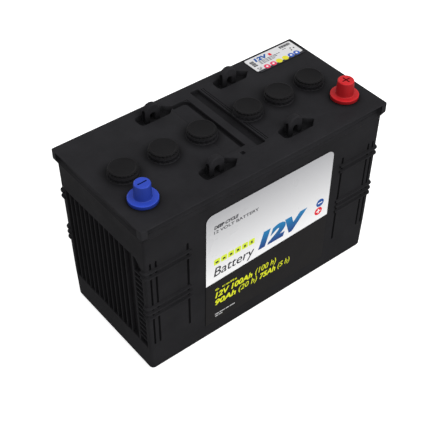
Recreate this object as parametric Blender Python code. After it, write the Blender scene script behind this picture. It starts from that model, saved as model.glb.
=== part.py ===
"""A 12 V flooded deep cycle battery: six tubular-plate cells in one moulded case.

Metres, +Z up. +X runs along the case, from the negative to the positive terminal, and -Y is the
face that carries the large label. The origin is the centre of the base.
"""

import math

import bmesh
import bpy
from mathutils import Matrix, Vector

# Overall size, measured over the lid.
LENGTH = 0.345
WIDTH = 0.168
LID_TOP = 0.230
LID_SKIRT = 0.012
GAP = 0.0003

# Case walls. They lean inwards by DRAFT from the shoulder under the lid down to the base.
OVERHANG = 0.0034
SHOULDER_DROP = 0.006
DRAFT = 0.0030
CORNER_RADIUS = 0.003
LID_CORNER_RADIUS = 0.002
CORNER_STEPS = 4
FOOT_CHAMFER = 0.0030
WALL = 0.003
END_WALL = 0.0025
PARTITION = 0.0022

# The sunk panel of upright fins in each end wall.
BAY_DEPTH = 0.0055
BAY_FRONT = -0.072
BAY_BACK = 0.0715
BAY_BOTTOM = 0.038
BAY_TOP = 0.1762
BAY_CHAMFER = 0.0095
FIN_THICKNESS = 0.0018
FIN_SETBACK = 0.0005
FIN_FIRST = -0.0416
FIN_PITCH = 0.00963
FIN_COUNT = 12
FIN_EDGE = -0.0567
RUNG_FIRST = 0.0475
RUNG_PITCH = 0.00812
RUNG_COUNT = 14
RUNG_THICKNESS = 0.0022

# Ribs that stand out of the long walls and wrap the corners, and upright grooves between them.
RIB_HEIGHTS = (0.0922, 0.1003, 0.1084, 0.1562, 0.1645)
BACK_RIB_RAISE = 0.0075
RIB_THICKNESS = 0.0030
RIB_PROUD = 0.0024
RIB_ROOT = 0.0031
RIB_INNER_X = 0.1088
RIB_END_Y = 0.0732
UPRIGHT_WIDTH = 0.0028
UPRIGHT_DEPTH = 0.0022
UPRIGHT_BOTTOM = 0.044
UPRIGHT_TOP = 0.1765
UPRIGHT_POSITIONS = (0.1120, 0.1545, 0.1617)

# Cells. Plates stand on two rails, with mud space below.
CELL_COUNT = 6
RAIL_Y = 0.040
RAIL_WIDTH = 0.003
RAIL_TOP = 0.015
FLOOR = 0.003
PLATE_BOTTOM = RAIL_TOP + GAP
PLATE_TOP = 0.163
NEGATIVE_PLATES = 4
POSITIVE_PLATES = 3
NEGATIVE_THICKNESS = 0.0038
POSITIVE_THICKNESS = 0.0084
PLATE_GAP = 0.0015
NEGATIVE_WIDTH = 0.144
POSITIVE_WIDTH = 0.142
TUBES_PER_PLATE = 15
TUBE_VALLEY = 0.0046
HEADER_HEIGHT = 0.006
SEPARATOR_THICKNESS = 0.0006
SEPARATOR_REACH = 0.0733
SEPARATOR_TOP = 0.1665
TAB_Y = 0.044
TAB_WIDTH = 0.012
STRAP_BOTTOM = 0.186
STRAP_TOP = 0.192
STRAP_WIDTH = 0.014
STRAP_HALF_LENGTH = 0.0249
LINK_WIDTH = 0.012
LINK_HEIGHT = 0.008
PROTECTOR_BOTTOM = 0.1735
PROTECTOR_THICKNESS = 0.0015
PROTECTOR_HALF_WIDTH = 0.034
PROTECTOR_SLOTS = 3

# Lid: a thick deck whose underside is pocketed over the cells.
LID_CHAMFER = 0.0012
SHALLOW_POCKET = 0.0025
DEEP_POCKET = 0.0075
POCKET_FRONT = -0.034
POCKET_BACK = 0.046
POCKET_MARGIN = 0.0015
COLLAR_RADIUS = 0.0160
COLLAR_BOTTOM = 0.206
BOSS_RADIUS = 0.0174
BOSS_TOP = 0.2357
BOSS_ROOT = 0.2215

# Vent plugs, one over each cell.
VENT_X = (-0.1346, -0.0822, -0.0302, 0.0356, 0.0815, 0.1283)
VENT_Y = 0.0010
BORE_RADIUS = 0.0125
SEAT_RADIUS = 0.0147
SEAT_DEPTH = 0.0016
PLUG_SHANK_RADIUS = 0.0119
PLUG_SHANK_LENGTH = 0.016
PLUG_WELL_RADIUS = 0.0085
PLUG_WELL_TOP = -0.003
PLUG_FLANGE_RADIUS = 0.0171
PLUG_FLANGE_TOP = 0.0012
PLUG_GRIP_RADIUS = 0.0162
PLUG_TOP = 0.0040
PLUG_DISH_RADIUS = 0.0135
PLUG_DISH_DEPTH = 0.0008
SEAL_INNER = 0.0124
SEAL_OUTER = 0.0142

# Terminals.
TERMINAL_X = 0.1417
TERMINAL_Y = -0.0448
BUSHING_RADIUS = 0.0125
BUSHING_FLANGE_RADIUS = 0.0139
BUSHING_FLANGE = 0.0012
BUSHING_BORE = 0.0078
PILLAR_RADIUS = 0.0075
POST_BASE = LID_TOP + 0.0021
POST_TOP = 0.2485
NEGATIVE_POST_RADII = (0.00875, 0.00795)
POSITIVE_POST_RADII = (0.00935, 0.00855)
COVER_FLANGE_RADIUS = 0.01675
COVER_FLANGE = 0.0047
COVER_SKIN = 0.0008
COVER_TOP = 0.2535
COVER_CLEARANCE = 0.0003
SIGN_LENGTH = 0.0105
SIGN_WIDTH = 0.0018
SIGN_DEPTH = 0.0008

# Rope lugs: an arch that stands in a sunk, pointed recess. Each has its own place along X.
RECESS_FLOOR = 0.222
RECESS_SPANS = ((-0.073, -0.024), (0.038, 0.087))
RECESS_Y = (-0.0533, 0.0630)
RECESS_HALF_WIDTH = 0.009
RECESS_POINT = 0.010
LUG_FROM_RECESS_START = 0.0210
LUG_FROM_RECESS_MIDDLE = 0.0035
LUG_RADIUS = 0.0100
LUG_TOP = 0.245
LUG_THICKNESS = 0.008
LUG_HOLE_WIDTH = 0.007
LUG_HOLE_TOP = 0.234
LUG_SLOT_WIDTH = 0.0042
LUG_SLOT_TOP = 0.236
LUG_ROOT = 0.001

# The two drain channels in the middle of the lid, each side of a thin rib.
CHANNEL_FLOOR = 0.226
CHANNELS = (((-0.0295, -0.0035), (-0.0413, 0.0638)), ((0.0065, 0.0184), (-0.0503, 0.0715)))

# Labels.
LABEL_THICKNESS = 0.0004
FRONT_LABEL_X = (-0.0885, 0.0974)
FRONT_LABEL_Z = (0.0215, 0.1995)
FRONT_LABEL_RADIUS = 0.009
TOP_LABEL_X = (0.0945, 0.1668)
TOP_LABEL_Y = (0.0538, 0.0797)
TOP_LABEL_RADIUS = 0.003

ROUND_STEPS = 16

# Worked out from the sizes above.
LID_BOTTOM = LID_TOP - LID_SKIRT
CASE_TOP = LID_BOTTOM - GAP
SHOULDER_Z = LID_BOTTOM - SHOULDER_DROP
CELL_SPACE = LENGTH / 2 - OVERHANG - DRAFT - BAY_DEPTH - END_WALL
CELL_PITCH = (2 * CELL_SPACE + PARTITION) / CELL_COUNT
CELL_LENGTH = CELL_PITCH - PARTITION
CELL_HALF_WIDTH = WIDTH / 2 - OVERHANG - DRAFT - WALL
CELL_X = [(n - (CELL_COUNT - 1) / 2) * CELL_PITCH for n in range(CELL_COUNT)]


def wall_inset(z):
    """How far the case wall stands inside the lid's outline at height z."""
    return OVERHANG + DRAFT * (SHOULDER_Z - z) / (SHOULDER_Z - FOOT_CHAMFER)


# --- materials ---------------------------------------------------------------------------------


def finish(name, colour, roughness, metallic=0.0):
    """A Principled material in one colour."""
    material = bpy.data.materials.new(name)
    material.use_nodes = True
    shader = material.node_tree.nodes["Principled BSDF"]
    shader.inputs["Base Color"].default_value = (*colour, 1.0)
    shader.inputs["Roughness"].default_value = roughness
    shader.inputs["Metallic"].default_value = metallic
    material.diffuse_color = (*colour, 1.0)
    return material


# --- mesh makers -------------------------------------------------------------------------------


def spread(middle, width):
    """The (low, high) span of a width about a middle."""
    return (middle - width / 2, middle + width / 2)


def mesh_from(points, faces):
    """A closed mesh with its faces pointing out."""
    mesh = bpy.data.meshes.new("mesh")
    mesh.from_pydata([tuple(p) for p in points], [], faces)
    work = bmesh.new()
    work.from_mesh(mesh)
    bmesh.ops.recalc_face_normals(work, faces=work.faces)
    work.to_mesh(mesh)
    work.free()
    return mesh


def joined(meshes):
    """Several meshes in one, without merging them."""
    work = bmesh.new()
    for mesh in meshes:
        work.from_mesh(mesh)
    result = bpy.data.meshes.new("mesh")
    work.to_mesh(result)
    work.free()
    return result


def moved(mesh, offset, turn=0.0):
    """A copy of a mesh, turned about Z and then moved."""
    result = mesh.copy()
    result.transform(Matrix.Translation(Vector(offset)) @ Matrix.Rotation(turn, 4, "Z"))
    return result


def combined(base, tool, operation, tool_overlaps_itself=False):
    """The base mesh after a Boolean with the tool mesh."""
    holder = bpy.data.objects.new("holder", base)
    other = bpy.data.objects.new("other", tool)
    for item in (holder, other):
        bpy.context.scene.collection.objects.link(item)
    modifier = holder.modifiers.new("combine", "BOOLEAN")
    modifier.object = other
    modifier.operation = operation
    modifier.solver = "EXACT"
    modifier.use_self = tool_overlaps_itself
    graph = bpy.context.evaluated_depsgraph_get()
    result = bpy.data.meshes.new_from_object(holder.evaluated_get(graph))
    for item in (holder, other):
        bpy.data.objects.remove(item)
    return result


def union(base, tool, overlaps=False):
    return combined(base, tool, "UNION", overlaps)


def cut(base, tool, overlaps=False):
    return combined(base, tool, "DIFFERENCE", overlaps)


def box(x, y, z):
    """A box from three (low, high) spans."""
    points = [(a, b, c) for a in x for b in y for c in z]
    faces = [(0, 1, 3, 2), (4, 6, 7, 5), (0, 4, 5, 1), (2, 3, 7, 6), (0, 2, 6, 4), (1, 5, 7, 3)]
    return mesh_from(points, faces)


def centred_box(centre, size):
    spans = [(c - s / 2, c + s / 2) for c, s in zip(centre, size)]
    return box(*spans)


def prism(outline, low, high, axis="Z"):
    """An outline of two coordinates, extruded from low to high along an axis."""
    count = len(outline)

    def place(u, v, level):
        if axis == "X":
            return (level, u, v)
        if axis == "Y":
            return (u, level, v)
        return (u, v, level)

    points = [place(u, v, level) for level in (low, high) for u, v in outline]
    sides = [(n, (n + 1) % count, (n + 1) % count + count, n + count) for n in range(count)]
    caps = [tuple(range(count)), tuple(range(count, 2 * count))]
    return mesh_from(points, sides + caps)


def arc(centre, radius, start, end, steps):
    """Points on an arc, in degrees, with both ends."""
    turns = [math.radians(start + (end - start) * n / steps) for n in range(steps + 1)]
    return [(centre[0] + radius * math.cos(t), centre[1] + radius * math.sin(t)) for t in turns]


def rounded_rectangle(x, y, radius, steps=CORNER_STEPS):
    """An outline from two (low, high) spans, anticlockwise."""
    outline = []
    corners = ((x[1], y[0], -90), (x[1], y[1], 0), (x[0], y[1], 90), (x[0], y[0], 180))
    for cx, cy, start in corners:
        centre = (cx - math.copysign(radius, cx - sum(x) / 2), cy - math.copysign(radius, cy - sum(y) / 2))
        outline += arc(centre, radius, start, start + 90, steps)
    return outline


def loft(levels):
    """A solid through rounded rectangles, as (z, inset from the lid's outline, corner radius)."""
    points = []
    for z, inset, radius in levels:
        x = LENGTH / 2 - inset
        y = WIDTH / 2 - inset
        points += [(u, v, z) for u, v in rounded_rectangle((-x, x), (-y, y), radius)]
    count = len(points) // len(levels)
    faces = [tuple(range(count)), tuple(range(len(points) - count, len(points)))]
    for level in range(len(levels) - 1):
        for n in range(count):
            a = level * count + n
            b = level * count + (n + 1) % count
            faces.append((a, b, b + count, a + count))
    return mesh_from(points, faces)


def turned(profile, is_ring=False):
    """A profile of (radius, z) turned about Z. A ring's profile is a closed loop; any other is
    closed by a flat cap at each end."""
    points = []
    for radius, z in profile:
        for n in range(ROUND_STEPS):
            t = 2 * math.pi * n / ROUND_STEPS
            points.append((radius * math.cos(t), radius * math.sin(t), z))
    rings = [range(n, n + ROUND_STEPS) for n in range(0, len(points), ROUND_STEPS)]
    pairs = list(zip(rings, rings[1:]))
    faces = []
    if is_ring:
        pairs.append((rings[-1], rings[0]))
    else:
        faces = [tuple(rings[0]), tuple(rings[-1])]
    for lower, upper in pairs:
        for n in range(ROUND_STEPS):
            m = (n + 1) % ROUND_STEPS
            faces.append((lower[n], lower[m], upper[m], upper[n]))
    return mesh_from(points, faces)


def thick_path(path, thickness):
    """The outline of a strip that follows a path of square bends."""
    left = []
    right = []
    for n, here in enumerate(path):
        before = Vector(path[max(n - 1, 0)])
        after = Vector(path[min(n + 1, len(path) - 1)])
        into = Vector(here) - before if n else after - Vector(here)
        out = after - Vector(here) if n < len(path) - 1 else into
        normals = [Vector((-d.y, d.x)).normalized() for d in (into, out)]
        shift = normals[0] if normals[0] == normals[1] else normals[0] + normals[1]
        left.append(tuple(Vector(here) + shift * thickness / 2))
        right.append(tuple(Vector(here) - shift * thickness / 2))
    return left + right[::-1]


def place(name, mesh, material, location=(0, 0, 0), smooth=False):
    """A named object, with its origin at the given location."""
    mesh.materials.clear()
    mesh.materials.append(material)
    if smooth:
        mesh.shade_smooth()
        mesh.set_sharp_from_angle(angle=math.radians(35))
    item = bpy.data.objects.new(name, mesh)
    item.location = location
    bpy.context.scene.collection.objects.link(item)
    return item


# --- case --------------------------------------------------------------------------------------


def leaning_prism(outline, depths, side):
    """An outline of (y, z) between two depths below one leaning end wall, negative is outside."""
    count = len(outline)
    points = []
    for depth in depths:
        points += [(side * (LENGTH / 2 - wall_inset(z) - depth), y, z) for y, z in outline]
    faces = [(n, (n + 1) % count, (n + 1) % count + count, n + count) for n in range(count)]
    return mesh_from(points, faces + [tuple(range(count)), tuple(range(count, 2 * count))])


def end_bay(side):
    """The pocket for the fins in one end wall."""
    outline = [
        (BAY_FRONT, BAY_BOTTOM),
        (BAY_BACK, BAY_BOTTOM),
        (BAY_BACK, BAY_TOP),
        (BAY_FRONT + BAY_CHAMFER, BAY_TOP),
        (BAY_FRONT, BAY_TOP - BAY_CHAMFER),
    ]
    return leaning_prism(outline, (BAY_DEPTH, -LID_SKIRT), side)


def end_fins(side):
    """Upright fins and a ladder of short rungs that fill one end bay. The rungs stand back a
    little from the fins' faces."""
    fins = [FIN_EDGE] + [FIN_FIRST + n * FIN_PITCH for n in range(FIN_COUNT)]
    rungs = [RUNG_FIRST + n * RUNG_PITCH for n in range(RUNG_COUNT)]
    upright = (BAY_BOTTOM - RIB_ROOT, BAY_TOP + RIB_ROOT)
    across = (BAY_FRONT - RIB_ROOT, FIN_EDGE)
    spans = [(spread(y, FIN_THICKNESS), upright, FIN_SETBACK) for y in fins]
    spans += [(across, spread(z, RUNG_THICKNESS), 2 * FIN_SETBACK) for z in rungs]
    pieces = []
    for y, z, setback in spans:
        outline = [(y[0], z[0]), (y[1], z[0]), (y[1], z[1]), (y[0], z[1])]
        pieces.append(leaning_prism(outline, (BAY_DEPTH + RIB_ROOT - setback, setback), side))
    return pieces


def corner_rib(side_x, side_y, z):
    """One horizontal rib that wraps a corner of the case."""
    x = LENGTH / 2 - wall_inset(z)
    y = WIDTH / 2 - wall_inset(z)
    centre = (x - CORNER_RADIUS, y - CORNER_RADIUS)
    outline = [(RIB_INNER_X, y + RIB_PROUD)]
    outline += arc(centre, CORNER_RADIUS + RIB_PROUD, 90, 0, CORNER_STEPS)
    outline += [(x + RIB_PROUD, RIB_END_Y), (x - RIB_ROOT, RIB_END_Y)]
    outline += [(x - RIB_ROOT, y - RIB_ROOT), (RIB_INNER_X, y - RIB_ROOT)]
    outline = [(side_x * u, side_y * v) for u, v in outline]
    return prism(outline, z - RIB_THICKNESS / 2, z + RIB_THICKNESS / 2)


def upright_groove(x, side_y):
    """One vertical groove in a long wall, as deep at its top as at its bottom."""
    ends = (UPRIGHT_BOTTOM, UPRIGHT_TOP)
    walls = [side_y * (WIDTH / 2 - wall_inset(z)) for z in ends]
    floor = side_y * UPRIGHT_DEPTH
    outside = side_y * RIB_ROOT
    outline = [(walls[0] - floor, ends[0]), (walls[0] + outside, ends[0])]
    outline += [(walls[1] + outside, ends[1]), (walls[1] - floor, ends[1])]
    return prism(outline, x - UPRIGHT_WIDTH / 2, x + UPRIGHT_WIDTH / 2, "X")


def cell_cavity(x):
    """The space of one cell, notched below for the rails that carry the plates."""
    outline = [(-CELL_HALF_WIDTH, FLOOR)]
    for y in (-RAIL_Y, RAIL_Y):
        low = y - RAIL_WIDTH / 2
        high = y + RAIL_WIDTH / 2
        outline += [(low, FLOOR), (low, RAIL_TOP), (high, RAIL_TOP), (high, FLOOR)]
    outline += [(CELL_HALF_WIDTH, FLOOR), (CELL_HALF_WIDTH, LID_TOP), (-CELL_HALF_WIDTH, LID_TOP)]
    return prism(outline, x - CELL_LENGTH / 2, x + CELL_LENGTH / 2, "X")


def strap_side(cell, positive):
    """Which side, +1 or -1 in Y, a cell's strap is on. Neighbours are joined across a partition,
    so the sides alternate from cell to cell."""
    return (-1 if cell % 2 else 1) * (1 if positive else -1)


def partition_x(n):
    return (CELL_X[n] + CELL_X[n + 1]) / 2


def link_centre(n):
    """The middle of the link through partition n, from a positive strap to a negative one."""
    return (partition_x(n), strap_side(n, True) * TAB_Y, (STRAP_BOTTOM + STRAP_TOP) / 2)


def build_case(material):
    levels = [
        (0, wall_inset(FOOT_CHAMFER) + FOOT_CHAMFER, CORNER_RADIUS),
        (FOOT_CHAMFER, wall_inset(FOOT_CHAMFER), CORNER_RADIUS),
        (SHOULDER_Z, OVERHANG, CORNER_RADIUS),
        (CASE_TOP, 0, LID_CORNER_RADIUS),
    ]
    body = loft(levels)
    body = cut(body, joined([end_bay(side) for side in (-1, 1)]))
    body = union(body, joined(end_fins(-1) + end_fins(1)), overlaps=True)
    corners = [(a, b) for a in (-1, 1) for b in (-1, 1)]
    body = cut(body, joined([upright_groove(a * x, b) for a, b in corners for x in UPRIGHT_POSITIONS]))
    ribs = [corner_rib(a, b, z + max(b, 0) * BACK_RIB_RAISE) for a, b in corners for z in RIB_HEIGHTS]
    body = union(body, joined(ribs))
    body = cut(body, joined([cell_cavity(x) for x in CELL_X]))
    hole = (3 * PARTITION, LINK_WIDTH + 2 * GAP, LINK_HEIGHT + 2 * GAP)
    body = cut(body, joined([centred_box(link_centre(n), hole) for n in range(CELL_COUNT - 1)]))
    place("case", body, material)


# --- lid ---------------------------------------------------------------------------------------


def lid_pockets():
    """Hollows in the lid's underside, over each cell, clear of the drain channels."""
    pockets = []
    bottom = LID_BOTTOM - GAP
    for x in CELL_X:
        span = (x - CELL_LENGTH / 2, x + CELL_LENGTH / 2)
        across = (-CELL_HALF_WIDTH, CELL_HALF_WIDTH)
        pockets.append(box(span, across, (bottom, LID_BOTTOM + SHALLOW_POCKET)))
    return pockets


def deep_pockets():
    """Deeper hollows along the middle, beside the drain channels."""
    pockets = []
    channel_ends = (CHANNELS[0][0][0], CHANNELS[1][0][1])
    for x in CELL_X:
        low = x - CELL_LENGTH / 2 + POCKET_MARGIN
        high = x + CELL_LENGTH / 2 - POCKET_MARGIN
        if low < channel_ends[0] < high:
            high = channel_ends[0] - POCKET_MARGIN
        if low < channel_ends[1] < high:
            low = channel_ends[1] + POCKET_MARGIN
        across = (POCKET_FRONT, POCKET_BACK)
        pockets.append(box((low, high), across, (LID_BOTTOM, LID_BOTTOM + DEEP_POCKET)))
    return pockets


def recess(span, y):
    """A sunk trough with a blunt end and a pointed end."""
    low, high = span
    half = RECESS_HALF_WIDTH
    outline = [(low, y - half / 2), (low + half / 2, y - half), (high - RECESS_POINT, y - half)]
    outline += [(high, y), (high - RECESS_POINT, y + half), (low + half / 2, y + half), (low, y + half / 2)]
    return prism(outline, RECESS_FLOOR, LID_TOP + LID_SKIRT)


def lug_places():
    """The middle of each rope lug."""
    starts = [span[0] + LUG_FROM_RECESS_START for span in RECESS_SPANS]
    return [(x, y + LUG_FROM_RECESS_MIDDLE) for x in starts for y in RECESS_Y]


def lug(x, y):
    """The arch that a rope passes through, front to back."""
    outline = arc((x, LUG_TOP - LUG_RADIUS), LUG_RADIUS, 0, 180, 8)
    foot = RECESS_FLOOR - LUG_ROOT
    outline += [(x - LUG_RADIUS, foot), (x + LUG_RADIUS, foot)]
    return prism(outline, y - LUG_THICKNESS / 2, y + LUG_THICKNESS / 2, "Y")


def lug_hole(x, y):
    radius = LUG_HOLE_WIDTH / 2
    outline = arc((x, LUG_HOLE_TOP - radius), radius, 0, 180, 6)
    sill = RECESS_FLOOR + GAP
    outline += [(x - radius, sill), (x + radius, sill)]
    return prism(outline, y - LUG_THICKNESS, y + LUG_THICKNESS, "Y")


def lug_slot(x, y):
    """The slot in the flank of a lug that opens into its hole."""
    outline = arc((y, LUG_SLOT_TOP), LUG_SLOT_WIDTH / 2, 0, 180, 6)
    sill = RECESS_FLOOR + 2 * GAP
    outline += [(y - LUG_SLOT_WIDTH / 2, sill), (y + LUG_SLOT_WIDTH / 2, sill)]
    return prism(outline, x - LUG_THICKNESS * 2, x, "X")


def terminal_places():
    return [(side * TERMINAL_X, TERMINAL_Y) for side in (-1, 1)]


def build_lid(material):
    radius = LID_CORNER_RADIUS
    levels = [(LID_BOTTOM, 0, radius), (LID_TOP - LID_CHAMFER, 0, radius), (LID_TOP, LID_CHAMFER, radius)]
    body = loft(levels)
    body = cut(body, joined(lid_pockets()))
    body = cut(body, joined(deep_pockets()))
    body = cut(body, joined([recess(span, y) for span in RECESS_SPANS for y in RECESS_Y]))
    channels = [box(x, y, (CHANNEL_FLOOR, LID_TOP + LID_SKIRT)) for x, y in CHANNELS]
    body = cut(body, joined(channels))
    collar = turned([
        (COLLAR_RADIUS, COLLAR_BOTTOM),
        (COLLAR_RADIUS, BOSS_ROOT),
        (BOSS_RADIUS, BOSS_ROOT),
        (BOSS_RADIUS, BOSS_TOP),
    ])
    body = union(body, joined([moved(collar, (x, VENT_Y, 0)) for x in VENT_X]))
    body = union(body, joined([lug(x, y) for x, y in lug_places()]))
    body = cut(body, joined([lug_hole(x, y) for x, y in lug_places()]))
    body = cut(body, joined([lug_slot(x, y) for x, y in lug_places()]))
    seat = BOSS_TOP - SEAT_DEPTH
    above = LID_TOP + LID_SKIRT
    below = COLLAR_BOTTOM - LID_SKIRT
    bore = turned([(BORE_RADIUS, below), (BORE_RADIUS, seat), (SEAT_RADIUS, seat), (SEAT_RADIUS, above)])
    body = cut(body, joined([moved(bore, (x, VENT_Y, 0)) for x in VENT_X]))
    radius = BUSHING_RADIUS + GAP
    hole = turned([(radius, below), (radius, above)])
    body = cut(body, joined([moved(hole, (x, y, 0)) for x, y in terminal_places()]))
    place("lid", body, material)


def build_vents(plug_material, seal_material):
    """A screw plug with a hollow shank over each cell, and the ring that seals its flange."""
    bottom = GAP - PLUG_SHANK_LENGTH
    dish = PLUG_TOP - PLUG_DISH_DEPTH
    profile = [
        (PLUG_DISH_RADIUS - PLUG_DISH_DEPTH, dish),
        (PLUG_DISH_RADIUS, PLUG_TOP),
        (PLUG_GRIP_RADIUS - GAP, PLUG_TOP),
        (PLUG_GRIP_RADIUS, PLUG_TOP - PLUG_DISH_DEPTH / 2),
        (PLUG_GRIP_RADIUS, PLUG_FLANGE_TOP),
        (PLUG_FLANGE_RADIUS, PLUG_FLANGE_TOP - GAP),
        (PLUG_FLANGE_RADIUS, GAP),
        (PLUG_SHANK_RADIUS, GAP),
        (PLUG_SHANK_RADIUS, bottom),
        (PLUG_WELL_RADIUS, bottom),
        (PLUG_WELL_RADIUS, PLUG_WELL_TOP),
    ]
    plug = turned(profile)
    low = GAP - SEAT_DEPTH
    ring = turned([(SEAL_INNER, low), (SEAL_OUTER, low), (SEAL_OUTER, 0), (SEAL_INNER, 0)], is_ring=True)
    for n, x in enumerate(VENT_X, 1):
        place(f"vent_plug_{n}", plug.copy(), plug_material, (x, VENT_Y, BOSS_TOP), smooth=True)
        place(f"vent_seal_{n}", ring.copy(), seal_material, (x, VENT_Y, BOSS_TOP), smooth=True)


# --- terminals ---------------------------------------------------------------------------------


def bushing():
    """The lead ring moulded into the lid round each pillar."""
    top = LID_TOP + GAP
    profile = [
        (BUSHING_BORE, LID_BOTTOM),
        (BUSHING_RADIUS, LID_BOTTOM),
        (BUSHING_RADIUS, top),
        (BUSHING_FLANGE_RADIUS, top),
        (BUSHING_FLANGE_RADIUS, top + BUSHING_FLANGE),
        (BUSHING_BORE, top + BUSHING_FLANGE),
    ]
    return turned(profile, is_ring=True)


def post(radii):
    """A pillar that rises from a strap and ends in a tapered terminal post."""
    wide, narrow = radii
    profile = [
        (PILLAR_RADIUS, STRAP_TOP + GAP),
        (PILLAR_RADIUS, POST_BASE),
        (wide, POST_BASE),
        (narrow, POST_TOP - GAP),
        (narrow - GAP, POST_TOP),
    ]
    return turned(profile)


def cover(radii, positive):
    """A push-on cap over a terminal post, with the sign of the pole sunk in its top."""
    wide = radii[0] + COVER_CLEARANCE
    narrow = radii[1] + COVER_CLEARANCE
    bottom = LID_TOP + GAP
    ceiling = POST_TOP + COVER_CLEARANCE
    hollow = BUSHING_FLANGE_RADIUS + COVER_CLEARANCE
    step = bottom + BUSHING_FLANGE + COVER_CLEARANCE
    profile = [
        (narrow + COVER_SKIN, COVER_TOP),
        (wide + COVER_SKIN, bottom + COVER_FLANGE),
        (COVER_FLANGE_RADIUS, bottom + COVER_FLANGE),
        (COVER_FLANGE_RADIUS, bottom),
        (hollow, bottom),
        (hollow, step),
        (wide, step),
        (narrow, ceiling),
    ]
    body = turned(profile)
    half = SIGN_WIDTH / 2
    reach = SIGN_LENGTH / 2
    outline = [(-reach, -half), (reach, -half), (reach, half), (-reach, half)]
    if positive:
        quarter = [(half, -half), (reach, -half), (reach, half)]
        turns = ((1, 0), (0, 1), (-1, 0), (0, -1))
        outline = [(c * u - s * v, s * u + c * v) for c, s in turns for u, v in quarter]
    return cut(body, prism(outline, COVER_TOP - SIGN_DEPTH, COVER_TOP + SIGN_DEPTH))


def build_terminals(lead, blue, red):
    for name, (x, y), radii, colour in (
        ("negative", terminal_places()[0], NEGATIVE_POST_RADII, blue),
        ("positive", terminal_places()[1], POSITIVE_POST_RADII, red),
    ):
        place(f"{name}_bushing", bushing(), lead, (x, y, 0), smooth=True)
        place(f"{name}_post", post(radii), lead, (x, y, 0), smooth=True)
        place(f"{name}_cover", cover(radii, name == "positive"), colour, (x, y, 0), smooth=True)


# --- cells -------------------------------------------------------------------------------------


def stack():
    """The middle of each plate in a cell, as (x, is positive), and of each gap."""
    total = NEGATIVE_PLATES * NEGATIVE_THICKNESS + POSITIVE_PLATES * POSITIVE_THICKNESS
    total += (NEGATIVE_PLATES + POSITIVE_PLATES - 1) * PLATE_GAP
    x = -total / 2
    plates = []
    gaps = []
    for n in range(NEGATIVE_PLATES + POSITIVE_PLATES):
        positive = n % 2 == 1
        thickness = POSITIVE_THICKNESS if positive else NEGATIVE_THICKNESS
        plates.append((x + thickness / 2, positive))
        x += thickness
        gaps.append(x + PLATE_GAP / 2)
        x += PLATE_GAP
    return plates, gaps[:-1]


def tab_outline(half_width, bottom, top):
    """A flat plate in Y and Z with a tab on its +Y side that reaches into the strap."""
    into = (STRAP_BOTTOM + STRAP_TOP) / 2
    low = TAB_Y - TAB_WIDTH / 2
    high = TAB_Y + TAB_WIDTH / 2
    shape = [(-half_width, bottom), (half_width, bottom), (half_width, top), (high, top)]
    return shape + [(high, into), (low, into), (low, top), (-half_width, top)]


def gauntlet(x):
    """A row of tubes: the outline bulges at each tube and pinches between them."""
    pitch = POSITIVE_WIDTH / TUBES_PER_PLATE
    side = []
    for n in range(TUBES_PER_PLATE):
        start = -POSITIVE_WIDTH / 2 + n * pitch
        side.append((TUBE_VALLEY / 2, start))
        side.append((POSITIVE_THICKNESS / 2, start + pitch / 2))
    side.append((TUBE_VALLEY / 2, POSITIVE_WIDTH / 2))
    outline = [(x + u, v) for u, v in side] + [(x - u, v) for u, v in reversed(side)]
    return prism(outline, PLATE_BOTTOM, PLATE_TOP)


def strap():
    return centred_box(
        (0, TAB_Y, (STRAP_BOTTOM + STRAP_TOP) / 2),
        (2 * STRAP_HALF_LENGTH, STRAP_WIDTH, STRAP_TOP - STRAP_BOTTOM),
    )


def positive_group():
    """Tubular plates, each under a header with a tab, joined by a strap."""
    plates = [x for x, positive in stack()[0] if positive]
    half = TUBE_VALLEY / 2 - GAP
    header = tab_outline(POSITIVE_WIDTH / 2 - GAP, PLATE_TOP - HEADER_HEIGHT, PLATE_TOP + HEADER_HEIGHT / 2)
    headers = joined([prism(header, x - half, x + half, "X") for x in plates])
    body = union(strap(), headers)
    return union(body, joined([gauntlet(x) for x in plates]))


def negative_group():
    """Flat pasted plates, joined by a strap."""
    half = NEGATIVE_THICKNESS / 2
    outline = tab_outline(NEGATIVE_WIDTH / 2, PLATE_BOTTOM, PLATE_TOP)
    plates = [x for x, positive in stack()[0] if not positive]
    return union(strap(), joined([prism(outline, x - half, x + half, "X") for x in plates]))


def separator():
    """One folded sheet that weaves between all the plates."""
    path = []
    side = -1
    for x in stack()[1]:
        path += [(x, side * SEPARATOR_REACH), (x, -side * SEPARATOR_REACH)]
        side = -side
    return prism(thick_path(path, SEPARATOR_THICKNESS), PLATE_BOTTOM, SEPARATOR_TOP)


def plate_protector():
    """A slotted sheet that lies between the tabs, over the plates."""
    half_length = STRAP_HALF_LENGTH
    z = (PROTECTOR_BOTTOM, PROTECTOR_BOTTOM + PROTECTOR_THICKNESS)
    sheet = box((-half_length, half_length), (-PROTECTOR_HALF_WIDTH, PROTECTOR_HALF_WIDTH), z)
    pitch = 2 * PROTECTOR_HALF_WIDTH / PROTECTOR_SLOTS
    slots = []
    for n in range(PROTECTOR_SLOTS):
        y = -PROTECTOR_HALF_WIDTH + (n + 0.5) * pitch
        slots.append(centred_box((0, y, PROTECTOR_BOTTOM), (half_length, pitch / 2, PROTECTOR_THICKNESS * 4)))
    return cut(sheet, joined(slots))


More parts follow.
